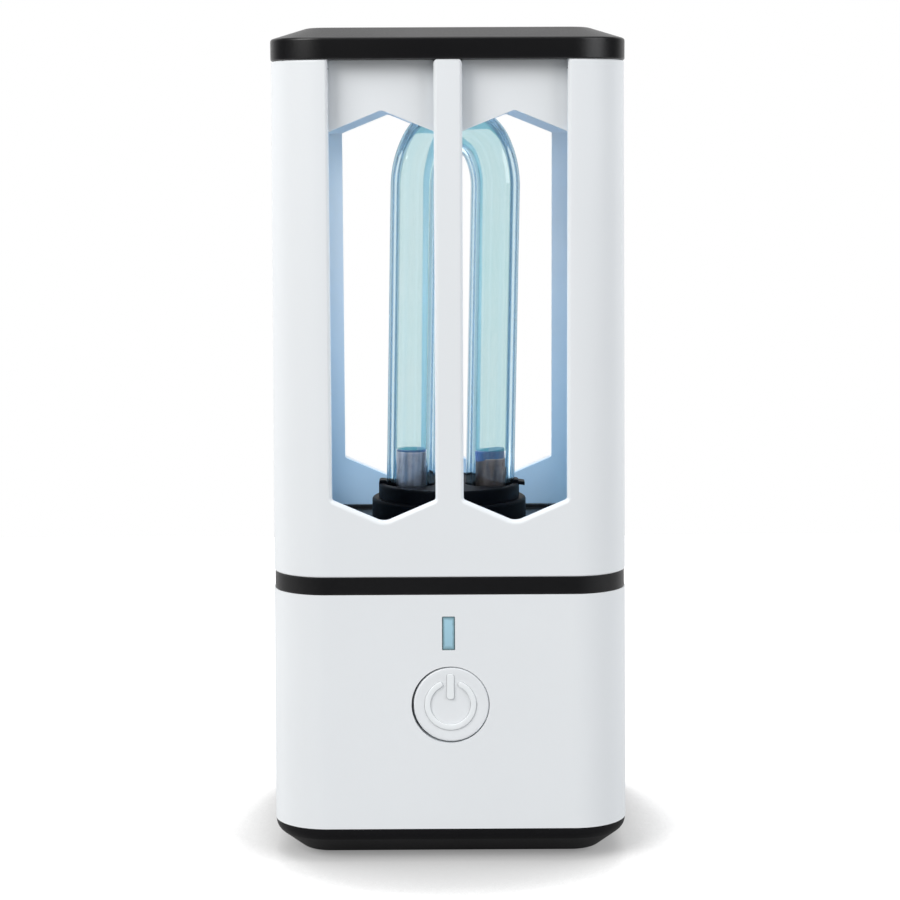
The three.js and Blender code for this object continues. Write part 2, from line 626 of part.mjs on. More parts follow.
// Lead from an electrode down through socket and deck to the driver board
function buildLead(side, sign) {
  const x = sign * LAMP.legOffset;
  const landX = sign * boardX(LEAD_END.xShare);
  const landY = boardY(LEAD_END.yShare);
  const board = BOARD_HIGH - DECK_TOP;
  const under = PLATE_UNDER - DECK_TOP - LEAD.sag;
  const route = [
    new THREE.Vector3(x, 0, LAMP_SEAT + ELECTRODE.lift),
    new THREE.Vector3(x, 0, 0),
    new THREE.Vector3(x, 0, under),
    new THREE.Vector3((x + landX) / 2, landY / 2, under - LEAD.sag),
    new THREE.Vector3(landX, landY, (under + board) / 2),
    new THREE.Vector3(landX, landY, board + LEAD.sag),
    new THREE.Vector3(landX, landY, board),
  ];
  return piece(`lamp_lead_${side}`, wire(route, LEAD.radius, LEAD.steps), "cream");
}

// Hook beside one leg that holds the lamp holder down
function hook(sign) {
  const high = HOLDER_TOP + HOOK.rise;
  const half = HOOK.width / 2;
  const [stemA, stemB] = span(sign, HOOK_OUT - HOOK.thick, HOOK_OUT);
  const [nubA, nubB] = span(sign, HOOK_OUT - HOOK.thick - HOOK.nub, HOOK_OUT);
  const stem = box(stemA, stemB, -half, half, SOCKET.height - WELD, high);
  return stem.add(box(nubA, nubB, -half, half, high - HOOK.nubHigh, high));
}

function buildSocket() {
  const body = post(0, 0, 0, SOCKET.height, SOCKET.radius, ROUND.fine);
  const high = SOCKET.height + OVERRUN;
  const pockets = posts(LEG_POINTS, LAMP_SEAT, high, LAMP.tube + CLEARANCE, ROUND.fine);
  const leads = posts(LEG_POINTS, -OVERRUN, LAMP_SEAT + WELD, LEAD.hole);
  const pilots = posts(SOCKET_POINTS, -OVERRUN, SOCKET.height - CLEARANCE, HOLE);
  const shape = addAll(cutAll(body, [...pockets, ...leads, ...pilots]), [hook(1), hook(-1)]);
  return piece("lamp_socket", shape, "black");
}

function buildHolder() {
  const collar = post(0, 0, 0, HOLDER.height, HOLDER.radius, ROUND.fine);
  const high = HOLDER.height + OVERRUN;
  const legs = posts(LEG_POINTS, -OVERRUN, high, LAMP.tube + CLEARANCE, ROUND.fine);
  const half = HOOK.width / 2 + CLEARANCE;
  const notches = [1, -1].map((sign) => {
    const [x0, x1] = span(sign, HOOK_OUT - HOOK.thick - CLEARANCE, HOLDER.radius + OVERRUN);
    return box(x0, x1, -half, half, -OVERRUN, high);
  });
  const holder = piece("lamp_holder", cutAll(collar, [...legs, ...notches]), "black");
  holder.position.z = SOCKET.height;
  return holder;
}

// Lamp with its electrodes, leads, socket and holder, standing on the deck at z 0
function buildLamp() {
  const group = new THREE.Group();
  group.position.z = DECK_TOP;
  group.add(buildTube(), buildSocket(), buildHolder());
  for (const [side, sign] of Object.entries({ left: -1, right: 1 })) {
    group.add(buildElectrode(side, sign), buildLead(side, sign));
  }
  group.add(screws("socket_screw", BITE.socket, SOCKET_POINTS, PLATE_UNDER - DECK_TOP));
  return group;
}

// Broken ring and bar of the power symbol, drawn in x and z, grown by a margin
function symbolOutlines(margin) {
  const outer = SYMBOL.ring + SYMBOL.stroke / 2 + margin;
  const inner = SYMBOL.ring - SYMBOL.stroke / 2 - margin;
  const end = SYMBOL.stroke / 2 + margin;
  const open = SYMBOL.openHalf - margin / SYMBOL.ring;
  const from = Math.PI / 2 + open;
  const to = 2.5 * Math.PI - open;
  const tip = (angle) => [SYMBOL.ring * Math.cos(angle), SYMBOL.ring * Math.sin(angle)];
  const ring = new THREE.Shape();
  ring.absarc(0, 0, outer, from, to, false);
  ring.absarc(...tip(to), end, to, to + Math.PI, false);
  ring.absarc(0, 0, inner, to, from, true);
  ring.absarc(...tip(from), end, from + Math.PI, from + 2 * Math.PI, false);
  ring.closePath();
  const half = BAR.width / 2 + margin;
  return [ring, roundedRectangle(-half, half, BAR.low - margin, BAR.high + margin, half * BAR.roundShare)];
}

// Marks of the symbol as solids from a front plane to just behind the button's face
function symbolMarks(margin, front) {
  return symbolOutlines(margin).map((outline) => slabY(outline, front, BUTTON_BACK + WELD, ROUND.corner));
}

function buildButtonCap() {
  const flangeRadius = BUTTON.radius + BUTTON.gap + FLANGE.out;
  const barrel = rod(0, 0, BUTTON_FRONT, FLANGE_BACK, BUTTON.radius);
  const flange = rod(0, 0, FLANGE_BACK - FLANGE.thick, FLANGE_BACK, flangeRadius);
  const well = rod(0, 0, BUTTON_BACK, FLANGE_BACK + OVERRUN, DISC.radius + BUTTON.gap);
  const marks = symbolMarks(SYMBOL.gap, BUTTON_FRONT - OVERRUN);
  return piece("power_button", cutAll(barrel.add(flange), [well, ...marks]), "white");
}

// Light guide behind the button's face, with the symbol in front and the stem behind
function buildSymbol() {
  const disc = rod(0, 0, BUTTON_BACK, BUTTON_BACK + DISC.thick, DISC.radius);
  const stem = rod(0, 0, BUTTON_BACK, PLUNGER_FRONT, DISC.stem, ROUND.small);
  const marks = symbolMarks(0, BUTTON_FRONT - SYMBOL.proud);
  return piece("power_symbol", addAll(disc, [...marks, stem]), "symbol");
}

// Button, its symbol and the switch plunger, which move together, with z 0 on their axis
function buildButton() {
  const group = new THREE.Group();
  group.position.z = BUTTON_Z;
  const plunger = rod(0, 0, PLUNGER_FRONT, SWITCH_FRONT + CLEARANCE, SWITCH.plunger, ROUND.small);
  group.add(buildButtonCap(), buildSymbol(), piece("switch_plunger", plunger, "chip"));
  return group;
}

function buildSwitch() {
  const half = SWITCH.half;
  const body = box(-half, half, SWITCH_FRONT, CONTROL_FRONT, BUTTON_Z - half, BUTTON_Z + half);
  const wellBack = SWITCH_FRONT + TRAVEL + 2 * CLEARANCE;
  const well = rod(0, BUTTON_Z, SWITCH_FRONT - OVERRUN, wellBack, SWITCH.well, ROUND.small);
  return piece("switch_body", body.subtract(well), "chip");
}

// Status light on the control board and the clear window in front of it
function buildIndicator() {
  const group = new THREE.Group();
  const ledLow = INDICATOR_Z - LED.height / 2;
  const ledFront = CONTROL_FRONT - LED.thick;
  const led = block(0, CONTROL_FRONT - LED.thick / 2, ledLow, LED.width, LED.thick, LED.height);
  group.add(piece("status_led", led, "cream"));

  const low = INDICATOR_Z - INDICATOR.height / 2;
  const high = INDICATOR_Z + INDICATOR.height / 2;
  const half = INDICATOR.width / 2;
  const front = -sideAt(INDICATOR_Z) + INDICATOR.sunk;
  const pipe = box(-half, half, front, ledFront - CLEARANCE, low, high);
  const flangeFront = -insideHousing(low) + CLEARANCE;
  const flangeBack = flangeFront + INDICATOR.flange;
  const out = INDICATOR.flangeOut + INDICATOR.gap;
  const flange = box(-half - out, half + out, flangeFront, flangeBack, low - out, high + out);
  group.add(piece("indicator_lens", pipe.add(flange), "lens"));
  return group;
}

// Upright board behind the front wall, with the switch, status light and controller
function buildControl() {
  const group = new THREE.Group();
  const high = LIP_LOW - CONTROL.topGap;
  const board = box(-CONTROL_X, CONTROL_X, CONTROL_FRONT, CONTROL_BACK, POST_HIGH, high);
  group.add(piece("control_board", board, "board"));
  const c = CONTROL_CHIP;
  const chipX = c.xShare * CONTROL_X;
  const chipWide = c.wideShare * CONTROL_X;
  const chip = block(chipX, CONTROL_BACK + c.thick / 2, POST_HIGH + c.rise, chipWide, c.thick, c.high);
  group.add(piece("control_chip", chip, "chip"));
  group.add(buildSwitch(), buildIndicator());
  return group;
}

const TRAY_Y = POST_AT - HOUSING.postRadius - BASE.bossWall;
const COLUMN_X = BODY.half - HOUSING.wall - TRAY.columnInset;
const COLUMN_Y = TRAY.columnShare * TRAY_Y;
const COLUMN_POINTS = corners(1).map(([x, y]) => [x * COLUMN_X, y * COLUMN_Y]);
const BATTERY_X = COLUMN_X - TRAY.columnRadius - CLEARANCE;
const BATTERY_Y = TRAY_Y - TRAY.wall - CLEARANCE;

// Tray under the battery, with the four columns that carry the driver board
function buildTray() {
  const floor = box(-COLUMN_X, COLUMN_X, -TRAY_Y, TRAY_Y, BASE_FLOOR, TRAY_FLOOR);
  const walls = [1, -1].map((sign) => {
    const [y0, y1] = span(sign, TRAY_Y - TRAY.wall, TRAY_Y);
    return box(-BATTERY_X, BATTERY_X, y0, y1, TRAY_FLOOR - WELD, TRAY_FLOOR + TRAY.wallHigh);
  });
  const columns = posts(COLUMN_POINTS, BASE_FLOOR, BOARD_LOW, TRAY.columnRadius);
  const pilots = posts(COLUMN_POINTS, BOARD_LOW - BITE.board, BOARD_LOW + OVERRUN, HOLE);
  return piece("battery_tray", cutAll(addAll(floor, [...walls, ...columns]), pilots), "cream");
}

// Outline in y and z, given its length along X from a start
function slabX(shape, x0, x1, curveSegments) {
  const settings = { depth: x1 - x0, bevelEnabled: false, curveSegments };
  const geometry = new THREE.ExtrudeGeometry(shape, settings);
  const alongX = new THREE.Vector3(1, 0, 0);
  const alongY = new THREE.Vector3(0, 1, 0);
  const alongZ = new THREE.Vector3(0, 0, 1);
  geometry.applyMatrix4(new THREE.Matrix4().makeBasis(alongY, alongZ, alongX));
  geometry.translate(x0, 0, 0);
  return solid(geometry);
}

function buildBattery() {
  const high = BATTERY_LOW + BATTERY.thick;
  const outline = roundedRectangle(-BATTERY_Y, BATTERY_Y, BATTERY_LOW, high, BATTERY.edge);
  return piece("battery_pack", slabX(outline, -BATTERY_X, BATTERY_X, 2), "foil");
}

function buildPad() {
  const wide = 2 * (BATTERY_X - PAD.margin);
  const deep = 2 * (BATTERY_Y - PAD.margin);
  return piece("battery_foam_pad", block(0, 0, TRAY_FLOOR, wide, deep, PAD.thick), "foam");
}

function buildDriverBoard() {
  const outline = roundedRectangle(-DRIVER_X, DRIVER_X, DRIVER_FRONT, DRIVER_REAR, BOARD.corner);
  const low = BOARD_LOW - OVERRUN;
  const high = BOARD_HIGH + OVERRUN;
  const notchX = DRIVER_X - BOARD_NOTCH.deep;
  const half = BOARD_NOTCH.halfShare * COLUMN_Y;
  const notch = box(notchX, DRIVER_X + OVERRUN, -half, half, low, high);
  const holes = posts(COLUMN_POINTS, low, high, HOLE);
  return piece("driver_board", cutAll(slabZ(outline, BOARD_LOW, BOARD_HIGH), [notch, ...holes]), "board");
}

// Ferrite frame of the step-up transformer and the coil through it
function buildTransformer() {
  const group = new THREE.Group();
  const x = boardX(CORE.xShare);
  const y = boardY(CORE.yShare);
  const wide = boardX(CORE.wideShare);
  const deep = boardDeep(CORE.deepShare);
  const core = block(x, y, BOARD_HIGH, wide, deep, CORE.high);
  const roomWide = wide - 2 * CORE.leg;
  const roomHigh = CORE.high - 2 * CORE.leg;
  const room = block(x, y, BOARD_HIGH + CORE.leg, roomWide, deep + OVERRUN, roomHigh);
  group.add(piece("transformer_core", core.subtract(room), "ferrite"));
  const coilLow = BOARD_HIGH + CORE.leg + CLEARANCE;
  const coilWide = roomWide - 2 * CLEARANCE;
  const coil = block(x, y, coilLow, coilWide, boardDeep(COIL.deepShare), roomHigh - 2 * CLEARANCE);
  group.add(piece("transformer_coil", coil, "copper"));
  return group;
}

// A block-shaped part on the driver board
function onBoard(name, part, look, y = boardY(part.yShare)) {
  const wide = boardX(part.wideShare);
  const deep = boardDeep(part.deepShare);
  return piece(name, block(boardX(part.xShare), y, BOARD_HIGH, wide, deep, part.high), look);
}

// One battery lead: out of the pack, up through the board's notch and over to the connector
function buildBatteryLead(name, sign, look) {
  const y = sign * WIRE.spread;
  const turnX = DRIVER_X - BOARD_NOTCH.deep + WIRE.out;
  const startZ = BATTERY_LOW + BATTERY.thick / 2;
  const plugMiddle = BOARD_HIGH + PLUG.high / 2;
  const route = [
    new THREE.Vector3(BATTERY_X + CLEARANCE, y, startZ),
    new THREE.Vector3(turnX - WIRE.radius, y, startZ + WIRE.radius),
    new THREE.Vector3(turnX, y, BOARD_LOW),
    new THREE.Vector3(turnX - WIRE.radius, y, BOARD_HIGH + WIRE.rise - WIRE.radius),
    new THREE.Vector3(boardX(PLUG.xShare + PLUG.wideShare / 2) + CLEARANCE, y, plugMiddle),
  ];
  return piece(name, wire(route, WIRE.radius, WIRE.steps), look);
}

// Flat ribbon from the back of the control board down to the driver board
function buildRibbon() {
  const start = CONTROL_BACK;
  const end = DRIVER_FRONT + RIBBON.onBoard;
  const high = BOARD_HIGH + RIBBON.rise;
  const shape = new THREE.Shape();
  shape.moveTo(start, high);
  shape.quadraticCurveTo(end, high, end, BOARD_HIGH);
  shape.lineTo(end - RIBBON.thick, BOARD_HIGH);
  shape.quadraticCurveTo(end - RIBBON.thick, high - RIBBON.thick, start, high - RIBBON.thick);
  shape.closePath();
  const x = boardX(RIBBON.xShare);
  const half = boardX(RIBBON.widthShare / 2);
  return piece("board_ribbon", slabX(shape, x - half, x + half, ROUND.corner), "cream");
}

// Folded shell's outline, narrower below, set in from its outside
function shellOutline(inset) {
  const half = CHARGE.width / 2 - inset;
  const low = BOARD_HIGH + inset;
  const high = BOARD_HIGH + CHARGE.height - inset;
  const shape = new THREE.Shape();
  shape.moveTo(-half + CHARGE.bevel, low);
  shape.lineTo(half - CHARGE.bevel, low);
  shape.lineTo(half, low + CHARGE.bevel);
  shape.lineTo(half, high);
  shape.lineTo(-half, high);
  shape.lineTo(-half, low + CHARGE.bevel);
  shape.closePath();
  return shape;
}

// Charging socket at the back: its shell, open outwards, and the tongue inside
function buildChargeSocket() {
  const group = new THREE.Group();
  const mouth = sideAt(BOARD_HIGH) - CHARGE.sunk;
  const back = mouth - CHARGE.depth;
  const cavity = slabY(shellOutline(CHARGE.wall), back + CHARGE.wall, mouth + OVERRUN);
  const shell = slabY(shellOutline(0), back, mouth).subtract(cavity);
  group.add(piece("charge_socket_shell", shell, "steel"));
  const low = BOARD_HIGH + (CHARGE.height - TONGUE.thick) / 2;
  const middle = back + CHARGE.wall + TONGUE.length / 2;
  const tongue = block(0, middle, low, TONGUE.width, TONGUE.length, TONGUE.thick);
  group.add(piece("charge_socket_tongue", tongue, "chip"));
  return group;
}

// Driver board with the lamp supply, the battery's connector and the charging socket
function buildDriver() {
  const group = new THREE.Group();
  group.add(buildDriverBoard(), buildTransformer(), buildRibbon(), buildChargeSocket());
  group.add(screws("board_screw", BITE.board, COLUMN_POINTS, BOARD_HIGH, true));
  group.add(onBoard("film_capacitor", FILM_CAP, "yellow"));
  group.add(onBoard("power_transistor", TRANSISTOR, "chip"));
  group.add(onBoard("charge_chip", CHIP, "chip"));
  group.add(onBoard("battery_connector", PLUG, "cream", 0));
  const canRadius = boardX(CAN.radiusShare);
  const can = post(boardX(CAN.xShare), boardY(CAN.yShare), BOARD_HIGH, BOARD_HIGH + CAN.high, canRadius);
  group.add(piece("filter_capacitor", can, "can"));
  group.add(buildBatteryLead("battery_lead_red", 1, "red"));
  group.add(buildBatteryLead("battery_lead_black", -1, "chip"));
  return group;
}

const sterilizer = new THREE.Group();
sterilizer.add(buildBase(), buildFeet(), buildHousing());
sterilizer.add(screws("base_screw", BITE.base, POST_POINTS, BASE_SEAT));
sterilizer.add(buildTray(), buildPad(), buildBattery());
sterilizer.add(buildDriver(), buildControl(), buildButton());
sterilizer.add(buildDeck(), buildLamp());
sterilizer.add(screws("deck_screw", BITE.deck, POST_POINTS, LUG_LOW));
sterilizer.add(buildCage(), buildHeader(), buildCap());
sterilizer.add(screws("cap_screw", BITE.cap, CAP_POINTS, HEADER_UNDER));

export default sterilizer;
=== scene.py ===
"""Portable UV sterilizer lamp: moulded shells, glass lamp, button and stage round the packed frame."""

import json
import math
from contextlib import contextmanager

import bmesh
import bpy
from mathutils import Matrix, Vector


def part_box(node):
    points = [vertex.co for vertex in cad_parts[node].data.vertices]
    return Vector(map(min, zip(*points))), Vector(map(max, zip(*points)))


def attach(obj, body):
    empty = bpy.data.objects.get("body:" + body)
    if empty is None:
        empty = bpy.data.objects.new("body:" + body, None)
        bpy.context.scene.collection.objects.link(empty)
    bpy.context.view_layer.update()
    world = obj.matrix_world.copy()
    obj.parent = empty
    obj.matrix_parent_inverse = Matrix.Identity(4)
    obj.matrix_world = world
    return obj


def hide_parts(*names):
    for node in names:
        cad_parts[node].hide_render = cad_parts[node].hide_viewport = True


bl_info = {
    "name": "Portable UV Sterilizer Lamp",
    "version": (1, 0, 0),
    "blender": (4, 5, 0),
    "location": "3D View > Sidebar > Lamp",
    "description": "Models the lamp's shells, glass tube, button and stage on its packed frame",
    "category": "Object",
}

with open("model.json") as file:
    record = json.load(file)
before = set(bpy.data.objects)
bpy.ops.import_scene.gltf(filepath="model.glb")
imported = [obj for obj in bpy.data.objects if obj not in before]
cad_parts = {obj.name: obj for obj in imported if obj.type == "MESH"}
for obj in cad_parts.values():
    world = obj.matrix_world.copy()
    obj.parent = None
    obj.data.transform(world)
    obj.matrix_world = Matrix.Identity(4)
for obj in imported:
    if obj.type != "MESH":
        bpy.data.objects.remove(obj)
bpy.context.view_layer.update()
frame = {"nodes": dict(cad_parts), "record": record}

MM = 0.001
QUARTER = math.pi / 2


def heights(node):
    """Lowest and highest z of a packed node."""
    low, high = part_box(node)
    return low.z, high.z


# Heights and widths that the frame gives

BASE_LOW = heights("base_cover")[0]
BASE_TOP, HOUSING_TOP = heights("lower_housing")
BAND_TOP, CAGE_TOP = heights("lamp_cage")
HEAD, HEADER_TOP = heights("header_frame")
DECK_RIM = heights("deck")[1]
BUTTON_Z = sum(heights("power_button")) / 2
WINDOW_Z = sum(heights("indicator_lens")) / 2
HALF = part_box("lamp_cage")[1].x
SLOPE = (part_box("lower_housing")[1].x - HALF) / (BAND_TOP - BASE_TOP)

# Sizes that the pieces share

CORNER = 9 * MM
CORNER_STEPS = 14
CREASE = 34
HOUSING_WALL = 2.4 * MM
CAGE_WALL = 2.6 * MM
GAP = 0.3 * MM
BAND_SUNK = 0.15 * MM
WINDOW_LEFT, WINDOW_RIGHT = 2.27 * MM, 19.02 * MM
POST_AT = 18.6 * MM
CAP_POST_AT = 18 * MM
PILOT_RADIUS = 1.5 * MM
LEAD_RADIUS = 1.1 * MM
FOOT_RADIUS = 3.4 * MM
FOOT_POCKET = 3.7 * MM
BUTTON_RADIUS = 6.15 * MM
BUTTON_BORE = 6.37 * MM
FLANGE_BORE = 5.52 * MM
DISC_RADIUS = 5.3 * MM
DISC_BEHIND = 1.2 * MM
LEG_AT = 6.85 * MM
TUBE_RADIUS = 4.2 * MM
CUP_RADIUS = 2.55 * MM
SOCKET_RADIUS = 13.3 * MM
COLLAR_RADIUS = 12.15 * MM
SCREW_HEAD = 1.6 * MM
SCREW_RADIUS = 2.2 * MM


def side(z):
    """Distance from the axis to the column's side at a height."""
    return HALF + (BAND_TOP - z) * SLOPE


def depth_in(point):
    """Distance of a point in a wall from the column's outer face."""
    flat_half = side(point.z) - CORNER
    return CORNER - math.hypot(*(max(abs(way) - flat_half, 0) for way in point.xy))


# Working by hand: selecting, editing, joining

def alone(*objs):
    """Selects only these objects, the first of them active."""
    bpy.ops.object.select_all(action="DESELECT")
    for obj in objs:
        obj.select_set(True)
    bpy.context.view_layer.objects.active = objs[0]


@contextmanager
def editing(obj):
    """Edit mode on one object, with its whole mesh selected."""
    alone(obj)
    bpy.ops.object.mode_set(mode="EDIT")
    bpy.ops.mesh.select_all(action="SELECT")
    yield
    bpy.ops.object.mode_set(mode="OBJECT")


def pick(kind, test):
    """Selects only the vertices, edges or faces that pass a test."""
    mesh = bpy.context.edit_object.data
    bpy.ops.mesh.select_mode(type=kind)
    bpy.ops.mesh.select_all(action="DESELECT")
    shape = bmesh.from_edit_mesh(mesh)
    parts = {"VERT": shape.verts, "EDGE": shape.edges, "FACE": shape.faces}[kind]
    found = [part for part in parts if test(part)]
    if not found:
        raise RuntimeError(f"nothing to pick on {mesh.name}")
    for part in found:
        part.select_set(True)
    shape.select_flush_mode()
    bmesh.update_edit_mesh(mesh)


def middle(edge):
    return (edge.verts[0].co + edge.verts[1].co) / 2


def level(part, place, near=0.02 * MM, axis=2):
    """Whether an edge or face lies at one height, or at one place along another axis."""
    return all(abs(v.co[axis] - place) < near for v in part.verts)


def at_depth(part, y):
    """Whether an edge lies exactly at one y."""
    return level(part, y, 1e-6, 1)


def along(edge, axis):
    """Whether an edge runs along an axis."""
    run = edge.verts[1].co - edge.verts[0].co
    return abs(run[axis]) > 0.9 * run.length


def up(face):
    return face.normal.z > 0.99


def down(face):
    return face.normal.z < -0.99


def inset(thickness, depth=0.0):
    bpy.ops.mesh.inset(thickness=thickness, depth=depth, use_even_offset=True)


def extrude(x, y, z):
    bpy.ops.mesh.extrude_region_move(TRANSFORM_OT_translate={"value": (x, y, z)})


def move(x, y, z):
    bpy.ops.transform.translate(value=(x, y, z))


def resize(x, y, z, centre):
    bpy.ops.transform.resize(value=(x, y, z), center_override=centre)


def bevel(radius, steps):
    bpy.ops.mesh.bevel(offset=radius, segments=steps, affect="EDGES", clamp_overlap=True)


def soften(test, radius, steps):
    """Rounds the edges that pass a test."""
    pick("EDGE", test)
    bevel(radius, steps)


def round_level(z, radius, steps):
    """Rounds the edges at a height."""
    soften(lambda e: level(e, z), radius, steps)


def stepped(test, *steps):
    """Insets the faces that pass a test and extrudes what they enclose, once per width and rise."""
    pick("FACE", test)
    for width, rise in steps:
        inset(width)
        extrude(0, 0, rise)


def swept(steps, angle, centre, axis):
    """Spins the picked faces into a solid arc."""
    bpy.ops.mesh.spin(steps=steps, angle=angle, center=centre, axis=axis, use_auto_merge=False)


def sew(near):
    """Merges vertices that lie together and turns every face outwards."""
    bpy.ops.mesh.select_all(action="SELECT")
    bpy.ops.mesh.remove_doubles(threshold=near)
    bpy.ops.mesh.normals_make_consistent(inside=False)


def settle(obj, name):
    """Names a new shape and puts its place, turn and scale into its mesh."""
    obj.name = obj.data.name = name
    alone(obj)
    bpy.ops.object.transform_apply(location=True, rotation=True, scale=True)
    return obj


def primitive(kind, name, **settings):
    """Blender's own cube, cylinder, circle or plane, under a new name."""
    bpy.ops.object.select_all(action="DESELECT")
    getattr(bpy.ops.mesh, f"primitive_{kind}_add")(**settings)
    return settle(bpy.context.object, name)


def sheet(name, size, centre):
    """Flat rectangle in x and y."""
    made = primitive("plane", name, size=1)
    made.scale = size
    made.location = centre
    return settle(made, name)


def block(name, low, high):
    size = [b - a for a, b in zip(low, high)]
    centre = [(a + b) / 2 for a, b in zip(low, high)]
    return primitive("cube", name, size=1, location=centre, scale=size)


def rod(name, start, end, radius, sides=32):
    """Cylinder between two points that lie along one axis."""
    run = Vector(end) - Vector(start)
    turn = run.to_track_quat("Z", "Y").to_euler()
    centre = (Vector(start) + Vector(end)) / 2
    size = {"vertices": sides, "radius": radius, "depth": run.length}
    return primitive("cylinder", name, location=centre, rotation=turn, **size)


def post(name, x, y, low, high, radius, sides=32):
    return rod(name, (x, y, low), (x, y, high), radius, sides)


def rounded_rod(name, x0, x1, z0, z1, y0, y1, radius, steps=6):
    """Rounded rectangle in x and z, along Y."""
    obj = block(name, (x0, y0, z0), (x1, y1, z1))
    with editing(obj):
        soften(lambda e: along(e, 1), radius, steps)
    return obj


def rounded_block(name, low, high, half_low, half_high, corner):
    """Square block with its four upright edges rounded, wider at one end."""
    obj = block(name, (-half_low, -half_low, low), (half_low, half_low, high))
    with editing(obj):
        pick("FACE", up)
        resize(half_high / half_low, half_high / half_low, 1, (0, 0, high))
        soften(lambda e: abs(e.verts[0].co.z - e.verts[1].co.z) > (high - low) / 2, corner, CORNER_STEPS)
    return obj


def column(name, low, high, inward=0.0):
    """Slice of the drafted column between two heights."""
    return rounded_block(name, low, high, side(low) - inward, side(high) - inward, CORNER - inward)


def duplicated(obj):
    """A copy in the same place."""
    alone(obj)
    bpy.ops.object.duplicate()
    return bpy.context.object


def copied(obj, name, turn=0.0, shift=(0, 0, 0)):
    """A copy turned about the column's axis, or shifted."""
    made = duplicated(obj)
    made.rotation_euler.z = turn
    made.location = shift
    return settle(made, name)


def outward(obj):
    """Turns every face outwards."""
    with editing(obj):
        bpy.ops.mesh.normals_make_consistent(inside=False)


def mirrored(obj, name):
    """A copy mirrored from left to right."""
    made = duplicated(obj)
    made.scale.x = -1
    settle(made, name)
    outward(made)
    return made


def joined(pieces, name):
    """One mesh from several."""
    alone(*pieces)
    bpy.ops.object.join()
    return settle(bpy.context.object, name)


def four_turns(obj, name):
    """A shape and its three copies about the column's axis, in one mesh."""
    copies = [copied(obj, f"{name}_{i}", QUARTER * i) for i in (1, 2, 3)]
    return joined([obj, *copies], name)


def boolean(obj, other, operation):
    """Cuts or welds one shape with another, which is used up."""
    made = obj.modifiers.new(operation.title(), "BOOLEAN")
    made.operation = operation
    made.object = other
    made.solver = "EXACT"
    alone(obj)
    bpy.ops.object.modifier_apply(modifier=made.name)
    bpy.data.objects.remove(other, do_unlink=True)


def cut(obj, other):
    boolean(obj, other, "DIFFERENCE")


def weld(obj, other):
    boolean(obj, other, "UNION")


def corner_points(offset):
    return [(offset, offset), (-offset, offset), (-offset, -offset), (offset, -offset)]


def drill(obj, places, low, high, radius, sides=24):
    """Round upright holes at the places given in x and y."""
    for x, y in places:
        cut(obj, post("hole", x, y, low, high, radius, sides))


def add_bosses(obj, at, low, high, radius, pilot_low, pilot_high):
    """Four screw bosses, each with its pilot hole."""
    for x, y in corner_points(at):
        weld(obj, post("boss", x, y, low, high, radius))
        drill(obj, [(x, y)], pilot_low, pilot_high, PILOT_RADIUS)


def fine_edges(obj, radius, steps=3, angle=CREASE):
    """Small rounding of every edge sharper than an angle."""
    made = obj.modifiers.new("Edges", "BEVEL")
    made.width = radius
    made.segments = steps
    made.limit_method = "ANGLE"
    made.angle_limit = math.radians(angle)
    made.miter_outer = "MITER_ARC"
    made.use_clamp_overlap = True
    alone(obj)
    bpy.ops.object.modifier_apply(modifier=made.name)


def smooth(obj):
    """Smooth shading with sharp creases kept, led by the large faces."""
    alone(obj)
    bpy.ops.object.shade_smooth_by_angle(angle=math.radians(CREASE))
    made = obj.modifiers.new("Normals", "WEIGHTED_NORMAL")
    made.keep_sharp = True
    made.weight = 80
    bpy.ops.object.modifier_apply(modifier=made.name)


def mount(obj, slot, stands_for=None, look=None, body="column"):
    """Gives a finished piece its shading, material, body, slot and the node that it stands for."""
    smooth(obj)
    obj.data.materials.clear()
    obj.data.materials.append(MATERIALS[look or slot])
    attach(obj, body)
    if stands_for:
        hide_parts(stands_for)


# Node groups and materials

GREY = (0.5, 0.5, 0.5, 1.0)
GROUPS = {}
MATERIALS = {}


def feed(made, values):
    """Links or sets a node's inputs by name or number; a colour may leave out its alpha."""
    for name, value in values.items():
        socket = made.inputs[name]
        if isinstance(value, bpy.types.NodeSocket):
            made.id_data.links.new(value, socket)
        elif socket.type == "RGBA" and len(value) == 3:
            socket.default_value = (*value, 1)
        else:
            socket.default_value = value


def node(tree, kind, inputs=None, **settings):
    made = tree.nodes.new(kind)
    for name, value in settings.items():
        setattr(made, name, value)
    feed(made, inputs or {})
    return made


def new_group(name, inputs, outputs):
    """Empty node group with named sockets, its input node's sockets and its output node."""
    kinds = {float: "NodeSocketFloat", tuple: "NodeSocketColor"}
    tree = bpy.data.node_groups.new(name, "ShaderNodeTree")
    for label, value in inputs.items():
        made = tree.interface.new_socket(name=label, in_out="INPUT", socket_type=kinds[type(value)])
        made.default_value = value
    for label, value in outputs.items():
        tree.interface.new_socket(name=label, in_out="OUTPUT", socket_type=kinds[type(value)])
    return tree, tree.nodes.new("NodeGroupInput").outputs, tree.nodes.new("NodeGroupOutput")


def grouped(tree, name, make):
    """Node for a shared group, which is made the first time that it is asked for."""
    if name not in GROUPS:
        GROUPS[name] = make(name)
    return node(tree, "ShaderNodeGroup", node_tree=GROUPS[name])


def position(tree):
    """Place in the piece, in metres."""
    return node(tree, "ShaderNodeTexCoord").outputs["Object"]


def apart(tree, vector):
    """A vector's X, Y and Z."""
    return node(tree, "ShaderNodeSeparateXYZ", {0: vector}).outputs


def noise(tree, place, scale, detail=2.0, rough=0.5):
    settings = {"Vector": place, "Scale": scale, "Detail": detail, "Roughness": rough}
    return node(tree, "ShaderNodeTexNoise", settings).outputs["Fac"]


def ranged(tree, value, low, high, to_low=0.0, to_high=1.0):
    settings = {"Value": value, "From Min": low, "From Max": high, "To Min": to_low, "To Max": to_high}
    return node(tree, "ShaderNodeMapRange", settings).outputs["Result"]


